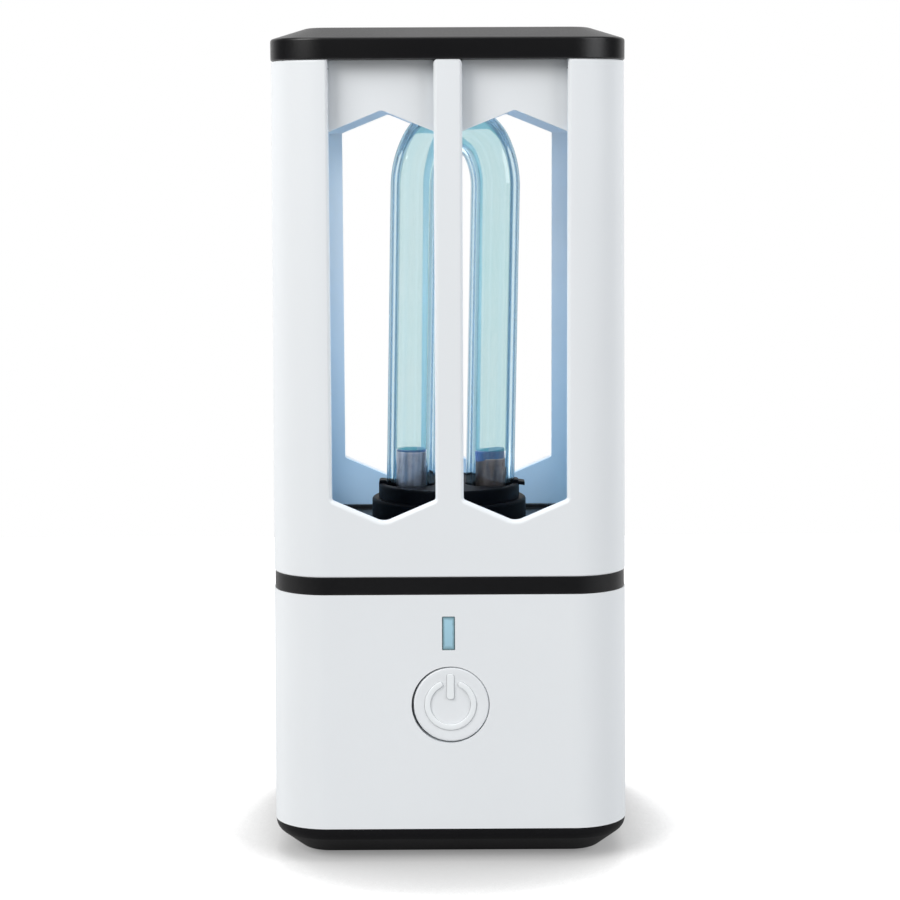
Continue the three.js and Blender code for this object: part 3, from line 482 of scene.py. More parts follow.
def maths(tree, operation, a, b=0.0):
    return node(tree, "ShaderNodeMath", {0: a, 1: b}, operation=operation).outputs[0]


def vectors(tree, operation, *given):
    made = node(tree, "ShaderNodeVectorMath", dict(enumerate(given)), operation=operation)
    return made.outputs["Value" if operation in ("DOT_PRODUCT", "LENGTH") else "Vector"]


def mixed(tree, share, a, b, way="MIX"):
    settings = {0: share, 6: a, 7: b}
    return node(tree, "ShaderNodeMix", settings, data_type="RGBA", blend_type=way).outputs[2]


def ramped(tree, value, stops):
    """Colours between the stops, each a place and a colour."""
    made = node(tree, "ShaderNodeValToRGB", {"Fac": value})
    elements = made.color_ramp.elements
    for stop, (at, color) in zip((elements[0], elements[1]), (stops[0], stops[-1])):
        stop.position, stop.color = at, (*color, 1)
    for at, color in stops[1:-1]:
        elements.new(at).color = (*color, 1)
    return made.outputs["Color"]


def bumped(tree, height, strength, distance):
    settings = {"Height": height, "Strength": strength, "Distance": distance}
    return node(tree, "ShaderNodeBump", settings).outputs["Normal"]


def make_edge_mask(name):
    """1 on narrow convex and concave edges, broken up as handling would."""
    tree, given, out = new_group(name, {"Width": 0.0005, "Break Up": 0.5}, {"Mask": 0.0})
    rounded = node(tree, "ShaderNodeBevel", {"Radius": given["Width"]}, samples=4).outputs["Normal"]
    true = node(tree, "ShaderNodeNewGeometry").outputs["Normal"]
    edge = ranged(tree, vectors(tree, "DOT_PRODUCT", rounded, true), 0.999, 0.93)
    broken = ranged(tree, noise(tree, position(tree), 420.0, 4.0), 0.35, 0.65)
    kept = maths(tree, "SUBTRACT", 1.0, maths(tree, "MULTIPLY", given["Break Up"], broken))
    feed(out, {"Mask": maths(tree, "MULTIPLY", edge, kept)})
    return tree


def chamber_cast(tree, place, reach):
    """Mask of the inner walls that face the lamp, and the cast that its light gives them by height."""
    core = 20 * MM
    beyond = vectors(tree, "SUBTRACT", vectors(tree, "ABSOLUTE", place), (core, core, 1))
    rounded = vectors(tree, "LENGTH", vectors(tree, "MAXIMUM", beyond, (0, 0, 0)))
    within = maths(tree, "SUBTRACT", maths(tree, "SUBTRACT", reach, core), rounded)
    height = ranged(tree, apart(tree, place)["Z"], 58 * MM, 98 * MM)
    painted_lamp_tint = mixed(tree, height, (0.62, 0.83, 1.0), (0.87, 0.93, 0.98))
    return ranged(tree, within, 0.0, 0.8 * MM), painted_lamp_tint


def make_plastic(name):
    """Moulded plastic: spark-eroded grain, slow cloudiness, and edges worn smoother."""
    inputs = {"Color": GREY, "Worn Color": GREY, "Roughness": 0.4, "Grain Scale": 4200.0}
    inputs.update({"Cloud": 0.03, "Wear": 0.3, "Cast Reach": 0.0})
    tree, given, out = new_group(name, inputs, {"Color": GREY, "Roughness": 0.0, "Height": 0.0})
    place = position(tree)
    grain = noise(tree, place, given["Grain Scale"], 3.0, 0.6)
    cloud = noise(tree, place, 40.0, 3.0)
    edge = grouped(tree, "Edge mask", make_edge_mask).outputs["Mask"]
    shade = maths(tree, "MULTIPLY", given["Cloud"], ranged(tree, cloud, 0.3, 0.7))
    darker = mixed(tree, shade, given["Color"], (0, 0, 0))
    worn = mixed(tree, maths(tree, "MULTIPLY", edge, given["Wear"]), darker, given["Worn Color"])
    # painted light: inner walls within reach are multiplied by a blue tint that stands in for the lamp's glow
    mask, painted_lamp_tint = chamber_cast(tree, place, given["Cast Reach"])
    speckle = ranged(tree, grain, 0.3, 0.7, -0.04, 0.04)
    drift = ranged(tree, cloud, 0.3, 0.7, -0.03, 0.03)
    rough = maths(tree, "ADD", given["Roughness"], maths(tree, "ADD", speckle, drift))
    polished = maths(tree, "SUBTRACT", rough, maths(tree, "MULTIPLY", edge, 0.1))
    feed(out, {"Color": mixed(tree, mask, worn, painted_lamp_tint, "MULTIPLY"), "Roughness": polished, "Height": grain})
    return tree


def make_metal(name):
    """Drawn or rolled metal: fine lines one way, faint stains, brighter rubbed edges."""
    inputs = {"Color": GREY, "Stain Color": GREY, "Roughness": 0.3, "Line Scale": 3000.0, "Stain": 0.3}
    tree, given, out = new_group(name, inputs, {"Color": GREY, "Roughness": 0.0, "Height": 0.0})
    place = position(tree)
    stretched = node(tree, "ShaderNodeMapping", {"Vector": place, "Scale": (1.0, 1.0, 0.04)}).outputs[0]
    lines = noise(tree, stretched, given["Line Scale"], 2.0)
    stain = ranged(tree, noise(tree, place, 600.0, 4.0), 0.42, 0.68)
    share = maths(tree, "MULTIPLY", stain, given["Stain"])
    edge = grouped(tree, "Edge mask", make_edge_mask).outputs["Mask"]
    stained = mixed(tree, share, given["Color"], given["Stain Color"])
    bright = mixed(tree, maths(tree, "MULTIPLY", edge, 0.4), stained, (0.9, 0.9, 0.9))
    rough = maths(tree, "ADD", given["Roughness"], ranged(tree, lines, 0.3, 0.7, -0.06, 0.08))
    feed(out, {"Color": bright, "Roughness": rough, "Height": lines})
    return tree


def new_material(name):
    """Material with a bare Principled shader, its tree and its shader."""
    made = bpy.data.materials.new(name)
    made.use_nodes = True
    return made, made.node_tree, made.node_tree.nodes["Principled BSDF"]


def surface(name, kind, make, values, depth, constants):
    """Material whose colour, roughness and height come from a shared group."""
    made, tree, shader = new_material(name)
    source = grouped(tree, kind, make)
    feed(source, {label.replace("_", " "): value for label, value in values.items()})
    given = source.outputs
    shape = bumped(tree, given["Height"], 1.0, depth)
    feed(shader, {"Base Color": given["Color"], "Roughness": given["Roughness"], "Normal": shape})
    feed(shader, constants)
    return made


def plastic(name, color, worn, roughness, depth=0.008 * MM, shine=0.5, **values):
    values.update(Color=color, Worn_Color=worn, Roughness=roughness)
    return surface(name, "Moulded plastic", make_plastic, values, depth, {"Specular IOR Level": shine})


def metal(name, color, stain, roughness, **values):
    values.update(Color=color, Stain_Color=stain, Roughness=roughness)
    return surface(name, "Drawn metal", make_metal, values, 0.004 * MM, {"Metallic": 1.0})


def tube_glass(tint):
    """Clear lamp glass with faint smears; light passes it without a hard shadow."""
    made, tree, shader = new_material("Lamp glass")
    smears = noise(tree, position(tree), 140.0, 4.0, 0.6)
    clear = mixed(tree, ranged(tree, smears, 0.4, 0.7), tint, (0.985, 0.995, 1.0))
    # painted refraction: for camera rays the glass colour takes dark-blue bands by viewing angle
    grazing = node(tree, "ShaderNodeLayerWeight").outputs["Facing"]
    none, line, wall, edge = (1, 1, 1), (0.14, 0.31, 0.42), (0.45, 0.7, 0.82), (0.17, 0.34, 0.45)
    stops = ((0.0, none), (0.2, none), (0.23, line), (0.3, line), (0.35, wall), (0.48, wall), (0.58, edge))
    painted_refraction_bands = mixed(tree, 1.0, clear, ramped(tree, grazing, stops), "MULTIPLY")
    path = node(tree, "ShaderNodeLightPath").outputs
    feed(shader, {
        "Base Color": mixed(tree, path["Is Camera Ray"], clear, painted_refraction_bands),
        "Roughness": ranged(tree, smears, 0.45, 0.75, 0.0, 0.03),
        "Transmission Weight": 1.0,
        "IOR": 1.47,
    })
    passing = node(tree, "ShaderNodeBsdfTransparent", {"Color": (0.86, 0.95, 0.97)}).outputs[0]
    shares = {0: path["Is Shadow Ray"], 1: shader.outputs[0], 2: passing}
    feed(tree.nodes["Material Output"], {"Surface": node(tree, "ShaderNodeMixShader", shares).outputs[0]})
    return made


def vapour(color, density):
    """Thin cyan haze in the bore, a little uneven along its length and denser in the right leg."""
    made, tree, shader = new_material("Lamp vapour")
    place = position(tree)
    uneven = noise(tree, place, 90.0, 3.0)
    right_leg = ranged(tree, ranged(tree, apart(tree, place)["X"], -3 * MM, 3 * MM), 0.0, 1.0, 1.0, 1.13)
    tone = mixed(tree, ranged(tree, uneven, 0.3, 0.7), color, tuple(c * 1.1 for c in color))
    # painted refraction: the haze's rim turns dark teal and less clear
    rim = ranged(tree, node(tree, "ShaderNodeLayerWeight").outputs["Facing"], 0.6, 0.98)
    hiding = ranged(tree, uneven, 0.3, 0.7, density * 0.94, density * 1.06)
    hiding = maths(tree, "MULTIPLY", hiding, right_leg)
    feed(shader, {
        "Emission Color": mixed(tree, rim, tone, (0.04, 0.2, 0.3)),
        "Emission Strength": 1.0,
        "Alpha": maths(tree, "ADD", hiding, maths(tree, "MULTIPLY", rim, 0.35)),
        "Base Color": (0.02, 0.04, 0.04),
        "Specular IOR Level": 0.0,
        "Roughness": 1.0,
    })
    made.cycles.emission_sampling = "NONE"
    return made


def status_glow(color, painted_rim_shade, centre):
    """Status window: a light pipe, paler in the middle than along its moulded edge."""
    made, tree, shader = new_material("Status window")
    place = position(tree)
    moved = node(tree, "ShaderNodeMapping", {"Vector": place, "Location": [-c for c in centre]}).outputs[0]
    ways = apart(tree, moved)
    across = maths(tree, "DIVIDE", maths(tree, "ABSOLUTE", ways["X"]), 1.0 * MM)
    tall = maths(tree, "DIVIDE", maths(tree, "ABSOLUTE", ways["Z"]), 2.75 * MM)
    rim = maths(tree, "MAXIMUM", across, maths(tree, "POWER", tall, 2.0))
    blotch = noise(tree, place, 900.0, 3.0)
    reach = maths(tree, "ADD", rim, ranged(tree, blotch, 0.3, 0.7, -0.06, 0.06))
    paler = tuple(c * 1.12 for c in color)
    fill = mixed(tree, ranged(tree, ways["Z"], -2.0 * MM, 2.0 * MM), color, paler)
    # painted shade: towards the rim the colour turns to the painted shadow of the slot's frame
    tone = mixed(tree, ranged(tree, reach, 0.55, 1.0), fill, painted_rim_shade)
    feed(shader, {
        "Base Color": tone,
        "Emission Color": tone,
        "Emission Strength": 0.14,
        "Roughness": ranged(tree, blotch, 0.3, 0.7, 0.12, 0.22),
        "Normal": bumped(tree, blotch, 0.3, 0.01 * MM),
    })
    return made


def circuit_board():
    """Green solder resist over copper tracks."""
    made, tree, shader = new_material("Circuit board")
    place = position(tree)
    black, white = (0, 0, 0), (1, 1, 1)
    bricks = {"Vector": place, "Scale": 220.0, "Mortar Size": 0.04}
    colors = {"Color1": black, "Color2": black, "Mortar": white}
    tracks = node(tree, "ShaderNodeTexBrick", {**bricks, **colors}).outputs["Color"]
    cloud = noise(tree, place, 300.0, 3.0)
    resist = mixed(tree, ranged(tree, cloud, 0.3, 0.7), (0.012, 0.13, 0.06), (0.016, 0.16, 0.08))
    feed(shader, {
        "Base Color": mixed(tree, tracks, resist, (0.03, 0.28, 0.12)),
        "Roughness": ranged(tree, cloud, 0.3, 0.7, 0.28, 0.4),
        "Normal": bumped(tree, tracks, 0.6, 0.03 * MM),
    })
    return made


def winding():
    """Lacquered copper wire, turn beside turn."""
    made, tree, shader = new_material("Copper winding")
    settings = {"Vector": position(tree), "Scale": 900.0, "Distortion": 0.4}
    turns = node(tree, "ShaderNodeTexWave", settings, bands_direction="Y").outputs["Fac"]
    feed(shader, {
        "Base Color": mixed(tree, turns, (0.32, 0.11, 0.03), (0.72, 0.34, 0.14)),
        "Roughness": ranged(tree, turns, 0.0, 1.0, 0.5, 0.3),
        "Metallic": 1.0,
        "Normal": bumped(tree, turns, 0.8, 0.08 * MM),
    })
    return made


def cells(name, color, scale, depth, metallic, roughness):
    """Foam cells or crinkled foil from one cellular pattern."""
    made, tree, shader = new_material(name)
    settings = {"Vector": position(tree), "Scale": scale}
    pattern = node(tree, "ShaderNodeTexVoronoi", settings).outputs["Distance"]
    darker = tuple(0.55 * c for c in color)
    feed(shader, {
        "Base Color": mixed(tree, ranged(tree, pattern, 0.1, 0.7), darker, color),
        "Roughness": ranged(tree, pattern, 0.0, 0.8, roughness - 0.08, roughness + 0.08),
        "Metallic": metallic,
        "Normal": bumped(tree, pattern, 0.8, depth),
    })
    return made


def build_finishes(finish):
    """Every material of the lamp, from the panel's colours."""
    white = tuple(finish.white)[:3]
    black = tuple(finish.black)[:3]
    satin = (white, (0.9, 0.91, 0.92), 0.42)
    clean = dict(Cloud=0.02, Wear=0.25)
    inner = dict(Cloud=0.08, Wear=0.1)
    pale = (0.9, 0.9, 0.9)
    MATERIALS.update(
        white_plastic=plastic("White satin plastic", *satin, **clean),
        # cage and header plastic carry a painted blue tint for the lamp's light on their inner walls
        cage_plastic=plastic("Cage plastic with painted lamp light", *satin, Cast_Reach=27.4 * MM, **clean),
        header_plastic=plastic("Header plastic with painted lamp light", *satin, Cast_Reach=25.4 * MM, **clean),
        # painted shade: the socket plastic is a darker copy of the black plastic, and its bluish edge colour
        # is painted lamp light
        socket_plastic=plastic("Socket plastic painted dark", (0.002, 0.003, 0.005), (0.01, 0.014, 0.02), 0.5, shine=0.08),
        foot_plastic=plastic("Foot plastic", black, (0.035, 0.035, 0.037), 0.42, shine=0.12, Cloud=0.15),
        black_plastic=plastic("Black satin plastic", black, (0.05, 0.05, 0.052), 0.36, Cloud=0.15, Wear=0.5),
        rubber=plastic("Foot rubber", (0.018, 0.018, 0.019), (0.05,) * 3, 0.8, 0.02 * MM, Grain_Scale=2400.0),
        lamp_glass=tube_glass(tuple(finish.glass)[:3]),
        vapour=vapour(tuple(finish.vapour)[:3], finish.density),
        # the second colour is the painted shadow along the status window's rim
        status_window=status_glow((0.3, 0.49, 0.59), (0.12, 0.2, 0.22), (-0.28 * MM, 0, WINDOW_Z)),
        symbol_plastic=plastic("Symbol plastic", (0.82, 0.855, 0.875), pale, 0.45, Cloud=0.02, Wear=0.05),
        steel=metal("Screw steel", (0.55, 0.56, 0.57), (0.35, 0.33, 0.3), 0.32),
        nickel=metal("Electrode nickel", (0.35, 0.39, 0.48), (0.2, 0.21, 0.26), 0.36, Stain=0.6),
        nickel_scorched=metal("Scorched nickel", (0.14, 0.12, 0.12), (0.06, 0.045, 0.04), 0.45, Stain=0.8),
        blue_enamel=plastic("Blue enamel", (0.05, 0.12, 0.26), (0.1, 0.2, 0.36), 0.35, shine=0.2, Cloud=0.3),
        gold=metal("Contact gold", (0.85, 0.6, 0.24), (0.6, 0.4, 0.15), 0.25),
        circuit_board=circuit_board(),
        battery_foil=cells("Battery foil", (0.6, 0.62, 0.65), 260.0, 0.05 * MM, 1.0, 0.35),
        foam=cells("Foam", (0.06, 0.062, 0.068), 2600.0, 0.15 * MM, 0.0, 0.9),
        ferrite=plastic("Ferrite", (0.035, 0.035, 0.04), (0.09,) * 3, 0.62, 0.02 * MM, Cloud=0.3, Wear=0.6),
        copper=winding(),
        yellow_plastic=plastic("Capacitor tape", (0.58, 0.38, 0.05), (0.7, 0.5, 0.1), 0.35, **inner),
        blue_sleeve=plastic("Capacitor sleeve", (0.02, 0.032, 0.07), (0.1, 0.12, 0.2), 0.3, **inner),
        chip_black=plastic("Chip black", (0.014, 0.014, 0.015), (0.04,) * 3, 0.55, **inner),
        red_wire=plastic("Red insulation", (0.45, 0.02, 0.015), (0.6, 0.1, 0.08), 0.45, **inner),
        cream_plastic=plastic("Cream plastic", (0.82, 0.76, 0.6), (0.9, 0.86, 0.72), 0.45, **inner),
    )


# Shells

def rib_pair(low, high, reach, half):
    """Two ribs from a corner post to the walls beside it."""
    near, far = POST_AT - half, POST_AT + half
    one = block("rib", (POST_AT, near, low), (reach, far, high))
    return one, block("rib", (near, POST_AT, low), (far, reach, high))


def corner_posts(name, low, high, reach):
    """Four corner posts, each with the two ribs that tie it to the walls."""
    one = post(name, POST_AT, POST_AT, low, high, 3 * MM, 24)
    for rib in rib_pair(low, high, reach, 0.75 * MM):
        weld(one, rib)
    return four_turns(one, name)


def base_hole(x, y):
    """Stepped hole for a foot, a screw head and its shaft."""
    hole = post("hole", x, y, -1 * MM, 1.3 * MM, FOOT_POCKET, 40)
    with editing(hole):
        stepped(up, (1.2 * MM, 1.9 * MM), (1 * MM, 4 * MM))
    return hole


def build_base(sizes):
    """Black chamfered foot with its lip, bosses and room for the posts' ribs."""
    reach = side(BASE_TOP)
    chamfer, tall = 4.8 * MM - sizes.base_lean, 3.5 * MM
    shoulder = BASE_LOW + tall
    lip, floor = 3.4 * MM, BASE_LOW + 2.2 * MM
    base = rounded_block("base_shell", shoulder, BASE_TOP, reach - sizes.base_lean, reach, CORNER)
    with editing(base):
        pick("FACE", down)
        inset(chamfer, tall)
        stepped(up, (HOUSING_WALL + GAP, lip), (1.6 * MM, floor - BASE_TOP - lip))
        round_level(shoulder, sizes.base_round, 6)
        round_level(BASE_LOW, 0.6 * MM, 4)
    for x, y in corner_points(POST_AT):
        weld(base, post("boss", x, y, BASE_LOW + 2 * MM, BASE_TOP, FOOT_RADIUS))
        cut(base, base_hole(x, y))
    for gap in rib_pair(BASE_TOP, BASE_TOP + 5 * MM, reach, 1.05 * MM):
        cut(base, four_turns(gap, "gaps"))
    fine_edges(base, 0.22 * MM)
    mount(base, "black_plastic", "base_cover", "foot_plastic")


def build_feet(sizes):
    """Four rubber pads under the foot."""
    for i, (x, y) in enumerate(corner_points(POST_AT), 1):
        low, high = heights(f"rubber_foot_{i}")
        foot = post(f"foot_pad_{i}", x, y, low, high, FOOT_RADIUS, 48)
        with editing(foot):
            round_level(low, 0.35 * MM, 4)
            pick("FACE", lambda f: down(f) and f.calc_area() > 1e-6)
            inset(0.5 * MM)
            inset(0.2 * MM, -0.12 * MM)
        fine_edges(foot, 0.1 * MM, 2)
        mount(foot, "rubber", f"rubber_foot_{i}")


def status_block(name, sizes, half, tall, front, back, radius):
    """Rounded block through the front at the status window's place."""
    left, right = sizes.window_at - half, sizes.window_at + half
    return rounded_rod(name, left, right, WINDOW_Z - tall, WINDOW_Z + tall, front, back, radius, 3)


def build_housing(sizes):
    """White housing with its ports, posts and lugs."""
    housing = column("housing_shell", BASE_TOP, HOUSING_TOP)
    with editing(housing):
        pick("FACE", lambda f: up(f) or down(f))
        inset(HOUSING_WALL)
        bpy.ops.mesh.bridge_edge_loops()
    reach = side(HOUSING_TOP) - HOUSING_WALL + 0.4 * MM
    weld(housing, corner_posts("posts", BASE_TOP + 0.01 * MM, 18.3 * MM, reach))
    weld(housing, corner_posts("lugs", 38.5 * MM, 42.2 * MM, reach))
    front = -side(BASE_TOP) - 1 * MM
    back = -side(BASE_TOP) + HOUSING_WALL + 1 * MM
    cut(housing, rod("bore", (0, front, BUTTON_Z), (0, back, BUTTON_Z), BUTTON_BORE, 96))
    cut(housing, status_block("light_slot", sizes, 1.06 * MM, 2.8 * MM, front, back, 0.15 * MM))
    low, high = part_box("charge_socket_shell")
    around = 0.7 * MM
    x = high.x + around
    port = rounded_rod("port", -x, x, low.z - around, high.z + around, POST_AT, -front, 1.5 * MM, 8)
    cut(housing, port)
    fine_edges(housing, sizes.seam_edge)
    mount(housing, "white_plastic", "lower_housing")


def catch_blocks(name, face, behind, margin=0.0):
    """Blocks in the middle of the four sides: the snap catches, or their pockets with a margin."""
    half = 6 * MM + margin
    low, high = DECK_RIM - 2.1 * MM - margin, DECK_RIM - 1.1 * MM + margin
    return four_turns(block(name, (face - behind, -half, low), (face + 0.6 * MM, half, high)), name)


def build_deck(sizes):
    """Black band with its floor, rim, bosses and catches."""
    wide, top = side(HOUSING_TOP) - BAND_SUNK, side(BAND_TOP) - BAND_SUNK
    floor, lip = DECK_RIM - 0.7 * MM, 2 * MM
    deck = rounded_block("deck_band", HOUSING_TOP, BAND_TOP, wide, top, CORNER - BAND_SUNK)
    with editing(deck):
        stepped(up, (CAGE_WALL + GAP - BAND_SUNK, DECK_RIM - BAND_TOP), (1.2 * MM, floor - DECK_RIM))
        inner = floor - 2.2 * MM - HOUSING_TOP + lip
        stepped(down, (HOUSING_WALL + GAP - BAND_SUNK, -lip), (2 * MM, inner))
    low, high = HOUSING_TOP - lip, floor - 2 * MM
    add_bosses(deck, POST_AT, low, high, 3 * MM, HOUSING_TOP - 4 * MM, floor - 1.1 * MM)
    below, above = floor - 4 * MM, floor + 1 * MM
    drill(deck, ((LEG_AT, 0), (-LEG_AT, 0)), below, above, LEAD_RADIUS)
    drill(deck, ((0, 9.4 * MM), (0, -9.4 * MM)), below, above, PILOT_RADIUS)
    weld(deck, catch_blocks("catches", side(DECK_RIM) - CAGE_WALL - GAP, 0.5 * MM))
    fine_edges(deck, 0.25 * MM)
    mount(deck, "black_plastic", "deck")


def window(name, corner, tip, flat_end, y0, y1, tip_radius, corner_radius, grow=0.0):
    """Block along Y in the shape of a window: flat at one end, pointed at the other, larger by a margin."""
    mid = (WINDOW_LEFT + WINDOW_RIGHT) / 2
    x0, x1 = WINDOW_LEFT - grow, WINDOW_RIGHT + grow
    slant = math.atan((tip - corner) / (mid - WINDOW_LEFT))
    lift = math.copysign(grow / math.cos(slant), slant)
    corner += lift - grow * math.tan(slant)
    tip += lift
    obj = block(name, (x0, y0, min(corner, flat_end)), (x1, y1, max(corner, flat_end)))
    with editing(obj):
        bpy.ops.mesh.bisect(plane_co=(mid, 0, 0), plane_no=(1, 0, 0))
        pick("EDGE", lambda e: level(e, corner) and level(e, mid, 1e-6, 0))
        move(0, 0, tip - corner)
        bevel((tip_radius + grow) * math.tan(abs(slant)), 9)
        corner_bevel = (corner_radius + grow) * math.tan((QUARTER - abs(slant)) / 2)
        soften(lambda e: level(e, corner) and along(e, 1), corner_bevel, 6)
        bpy.ops.mesh.select_all(action="SELECT")
        bpy.ops.mesh.dissolve_limited(angle_limit=0.01)
    return obj


def cage_window(sizes):
    """Cutter that rounds the outer rim, falls inwards at the sill and rounds the mullion's top corner."""
    rim, steps = sizes.window_edge, 6
    sill = BAND_TOP + 12.65 * MM
    tip = sill - 3.6 * MM
    outside = -side(sill) - 0.03 * MM
    near_top = CAGE_TOP - 10 * MM
    radii = (sizes.tip_round, sizes.corner_round)
    one = window("window", sill, tip, CAGE_TOP + 3 * MM, outside - 2 * MM, outside, *radii, rim)
    with editing(one):
        pick("FACE", lambda f: f.normal.y > 0.99)
        for step in range(steps):
            start, end = (QUARTER * share / steps for share in (step, step + 1))
            inset(rim * (math.sin(end) - math.sin(start)))
            move(0, rim * (math.cos(start) - math.cos(end)), 0)
        extrude(0, 4 * MM, 0)
        inner = outside + rim + 4 * MM
        pick("VERT", lambda v: v.co.y > inner - 0.1 * MM and v.co.z < near_top)
        move(0, 0, -sizes.sill_draft)
        pick("VERT", lambda v: v.co.z > near_top)
        move(0, side(sill) - side(CAGE_TOP), 0)
    turn = sizes.slot_corner
    x, z = WINDOW_LEFT - turn, CAGE_TOP - turn
    far = (WINDOW_LEFT + 0.2 * MM, inner - 0.3 * MM, CAGE_TOP + 0.7 * MM)
    nick = block("nick", (x, outside - 1.5 * MM, z), far)
    cut(nick, rod("round", (x, outside - 3 * MM, z), (x, inner + 1 * MM, z), turn, 64))
    weld(one, nick)
    return one


def four_windows(one):
    """A front window cutter, its mirror, and their turns to all four sides."""
    pair = joined([one, mirrored(one, "window_mirror")], "window_pair")
    return four_turns(pair, "windows")


def build_cage(sizes):
    """White cage with its windows and the pockets for the catches."""
    cage = column("cage_shell", BAND_TOP, CAGE_TOP)
    flange, flange_top = 2.6 * MM, CAGE_TOP - 1.2 * MM
    with editing(cage):
        stepped(down, (CAGE_WALL, flange_top - BAND_TOP))
        inset(flange)
        bpy.ops.mesh.delete(type="FACE")
        pick("FACE", up)
        inset(CAGE_WALL + flange)
        bpy.ops.mesh.delete(type="FACE")
        pick("EDGE", lambda e: e.is_boundary)
        bpy.ops.mesh.bridge_edge_loops()
    outward(cage)
    with editing(cage):
        soften(lambda e: level(e, CAGE_TOP) and depth_in(middle(e)) < 1 * MM, sizes.cage_top_edge, 4)
        round_level(BAND_TOP, sizes.seam_edge, 3)
    cut(cage, four_windows(cage_window(sizes)))
    cut(cage, catch_blocks("pockets", side(DECK_RIM) - CAGE_WALL, 1 * MM, GAP))
    mount(cage, "white_plastic", "lamp_cage", "cage_plastic")


def build_header(sizes):
    """Set-back frame that closes the tops of the windows."""
    inward = CAGE_WALL + GAP
    header = column("header_shell", HEAD, HEADER_TOP, inward)
    with editing(header):
        stepped(down, (1.6 * MM, HEADER_TOP - 1.5 * MM - HEAD))
    front = -side(HEADER_TOP) + inward
    slit = 0.03 * MM
    low = (WINDOW_LEFT + slit, front, HEADER_TOP - 0.5 * MM)
    tab = block("tab", low, (WINDOW_RIGHT - slit, front + 1.3 * MM, CAGE_TOP - 0.05 * MM))
    weld(header, four_windows(tab))
    radii = (sizes.notch_round, sizes.corner_round)
    one = window("notch", HEAD, HEAD + 3.4 * MM, HEAD - 2 * MM, -27 * MM, -22 * MM, *radii)
    cut(header, four_windows(one))
    drill(header, corner_points(CAP_POST_AT), HEADER_TOP - 4 * MM, HEADER_TOP + 1 * MM, PILOT_RADIUS)
    fine_edges(header, 0.2 * MM)
    mount(header, "white_plastic", "header_frame", "header_plastic")


def build_cap(sizes):
    """Black sloped cap, whose top swells in four rings."""
    half = side(CAGE_TOP) + 0.1 * MM
    edge = CAGE_TOP + 3.4 * MM
    slope, rise = 6 * MM, 1.84 * MM
    cap = rounded_block("cap_shell", CAGE_TOP, edge, half, half, CORNER)

    def furthest(axis):
        return max(v.co[axis] for v in bmesh.from_edit_mesh(cap.data).verts if v.select)

    with editing(cap):
        pick("FACE", up)
        inset(slope, rise)
        for share, swell in ((0.9, 0.02), (0.78, 0.035), (0.6, 0.05), (0.35, 0.06)):
            extrude(0, 0, 0)
            scale = share * (half - slope) / furthest(0)
            resize(scale, scale, 1, (0, 0, edge))
            move(0, 0, edge + rise + swell * MM - furthest(2))
        stepped(down, (4.6 * MM, 2.3 * MM))
        round_level(edge, sizes.cap_edge, 4)
        round_level(edge + rise, 0.5 * MM, 4)
    low, high = HEADER_TOP + 0.01 * MM, CAGE_TOP + 2.8 * MM
    add_bosses(cap, CAP_POST_AT, low, high, 2.6 * MM, HEADER_TOP - 1 * MM, CAGE_TOP + 2.6 * MM)
    fine_edges(cap, 0.25 * MM)
    mount(cap, "black_plastic", "top_cap")


# Button, symbol and status window

def build_button(sizes):
    """Dished button with its flange and the cuts for its symbol."""
    low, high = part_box("power_button")
    front, back = low.y, high.y
    lie = sizes.button_lie
    raised = BUTTON_Z + 0.3 * lie
    button = rod("button_cap", (lie, front, raised), (lie, back, raised), BUTTON_RADIUS, 96)
    with editing(button):
        soften(lambda e: at_depth(e, front), sizes.button_edge, 5)
        pick("FACE", lambda f: f.normal.y < -0.99 and f.calc_area() > 1e-5)
        rings = 8
        for ring in range(rings):
            inset(0.68 * MM, -sizes.button_dish * (2 * (rings - ring) - 1) / rings ** 2)
        pick("FACE", lambda f: f.normal.y > 0.99)
        inset(0.63 * MM)
        extrude(0, front + DISC_BEHIND - back, 0)
    flange = rod("flange", (0, back - 0.8 * MM, BUTTON_Z), (0, back, BUTTON_Z), BUTTON_RADIUS + 1.12 * MM, 96)
    bore = rod("flange_bore", (0, back - 2 * MM, BUTTON_Z), (0, back + 1 * MM, BUTTON_Z), FLANGE_BORE, 96)
    cut(flange, bore)
    weld(button, flange)
    cut(button, symbol_marks("marks", front - 1 * MM, front + 2 * MM, 0.04 * MM))
    fine_edges(button, 0.06 * MM, 2, 50)
    mount(button, "white_plastic", "power_button", body="button")


def symbol_marks(name, front, back, grow=0.0):
    """Broken ring and bar with rounded ends, between two depths."""
    z = BUTTON_Z
    radius, stroke, tip = 3.75 * MM, 0.95 * MM + 2 * grow, 0.5 * MM
    opening = math.radians(20) + (tip - grow) / radius
    arc = sheet(name, (stroke, back - front, 1), (radius, (front + back) / 2, 0))
    arc.rotation_euler.y = -QUARTER - opening
    arc.location.z = z
    settle(arc, name)

    def arc_end(face):
        centre = face.calc_center_median()
        turn = math.atan2(centre.x, centre.z - z)
        return abs(face.normal.y) < 0.1 and abs(abs(turn) - opening) < 1e-3

    with editing(arc):
        sweep = 2 * (opening - math.pi)
        swept(56, sweep, (0, 0, z), (0, -1, 0))
        sew(1e-7)
        pick("FACE", arc_end)
        bpy.ops.mesh.extrude_region_shrink_fatten(TRANSFORM_OT_shrink_fatten={"value": tip})
        shape = bmesh.from_edit_mesh(arc.data)
        ends = [face.calc_center_median() for face in shape.faces if face.select]
        pick("EDGE", lambda e: along(e, 1) and any((middle(e) - end).length < 0.6 * stroke for end in ends))
        bevel(stroke * 0.49, 6)
    half = 0.6 * MM + grow
    low, high = z + 0.9 * MM - grow, z + 5.15 * MM + grow
    return joined([arc, rounded_rod("bar", -half, half, low, high, front, back, half * 0.8)], name)


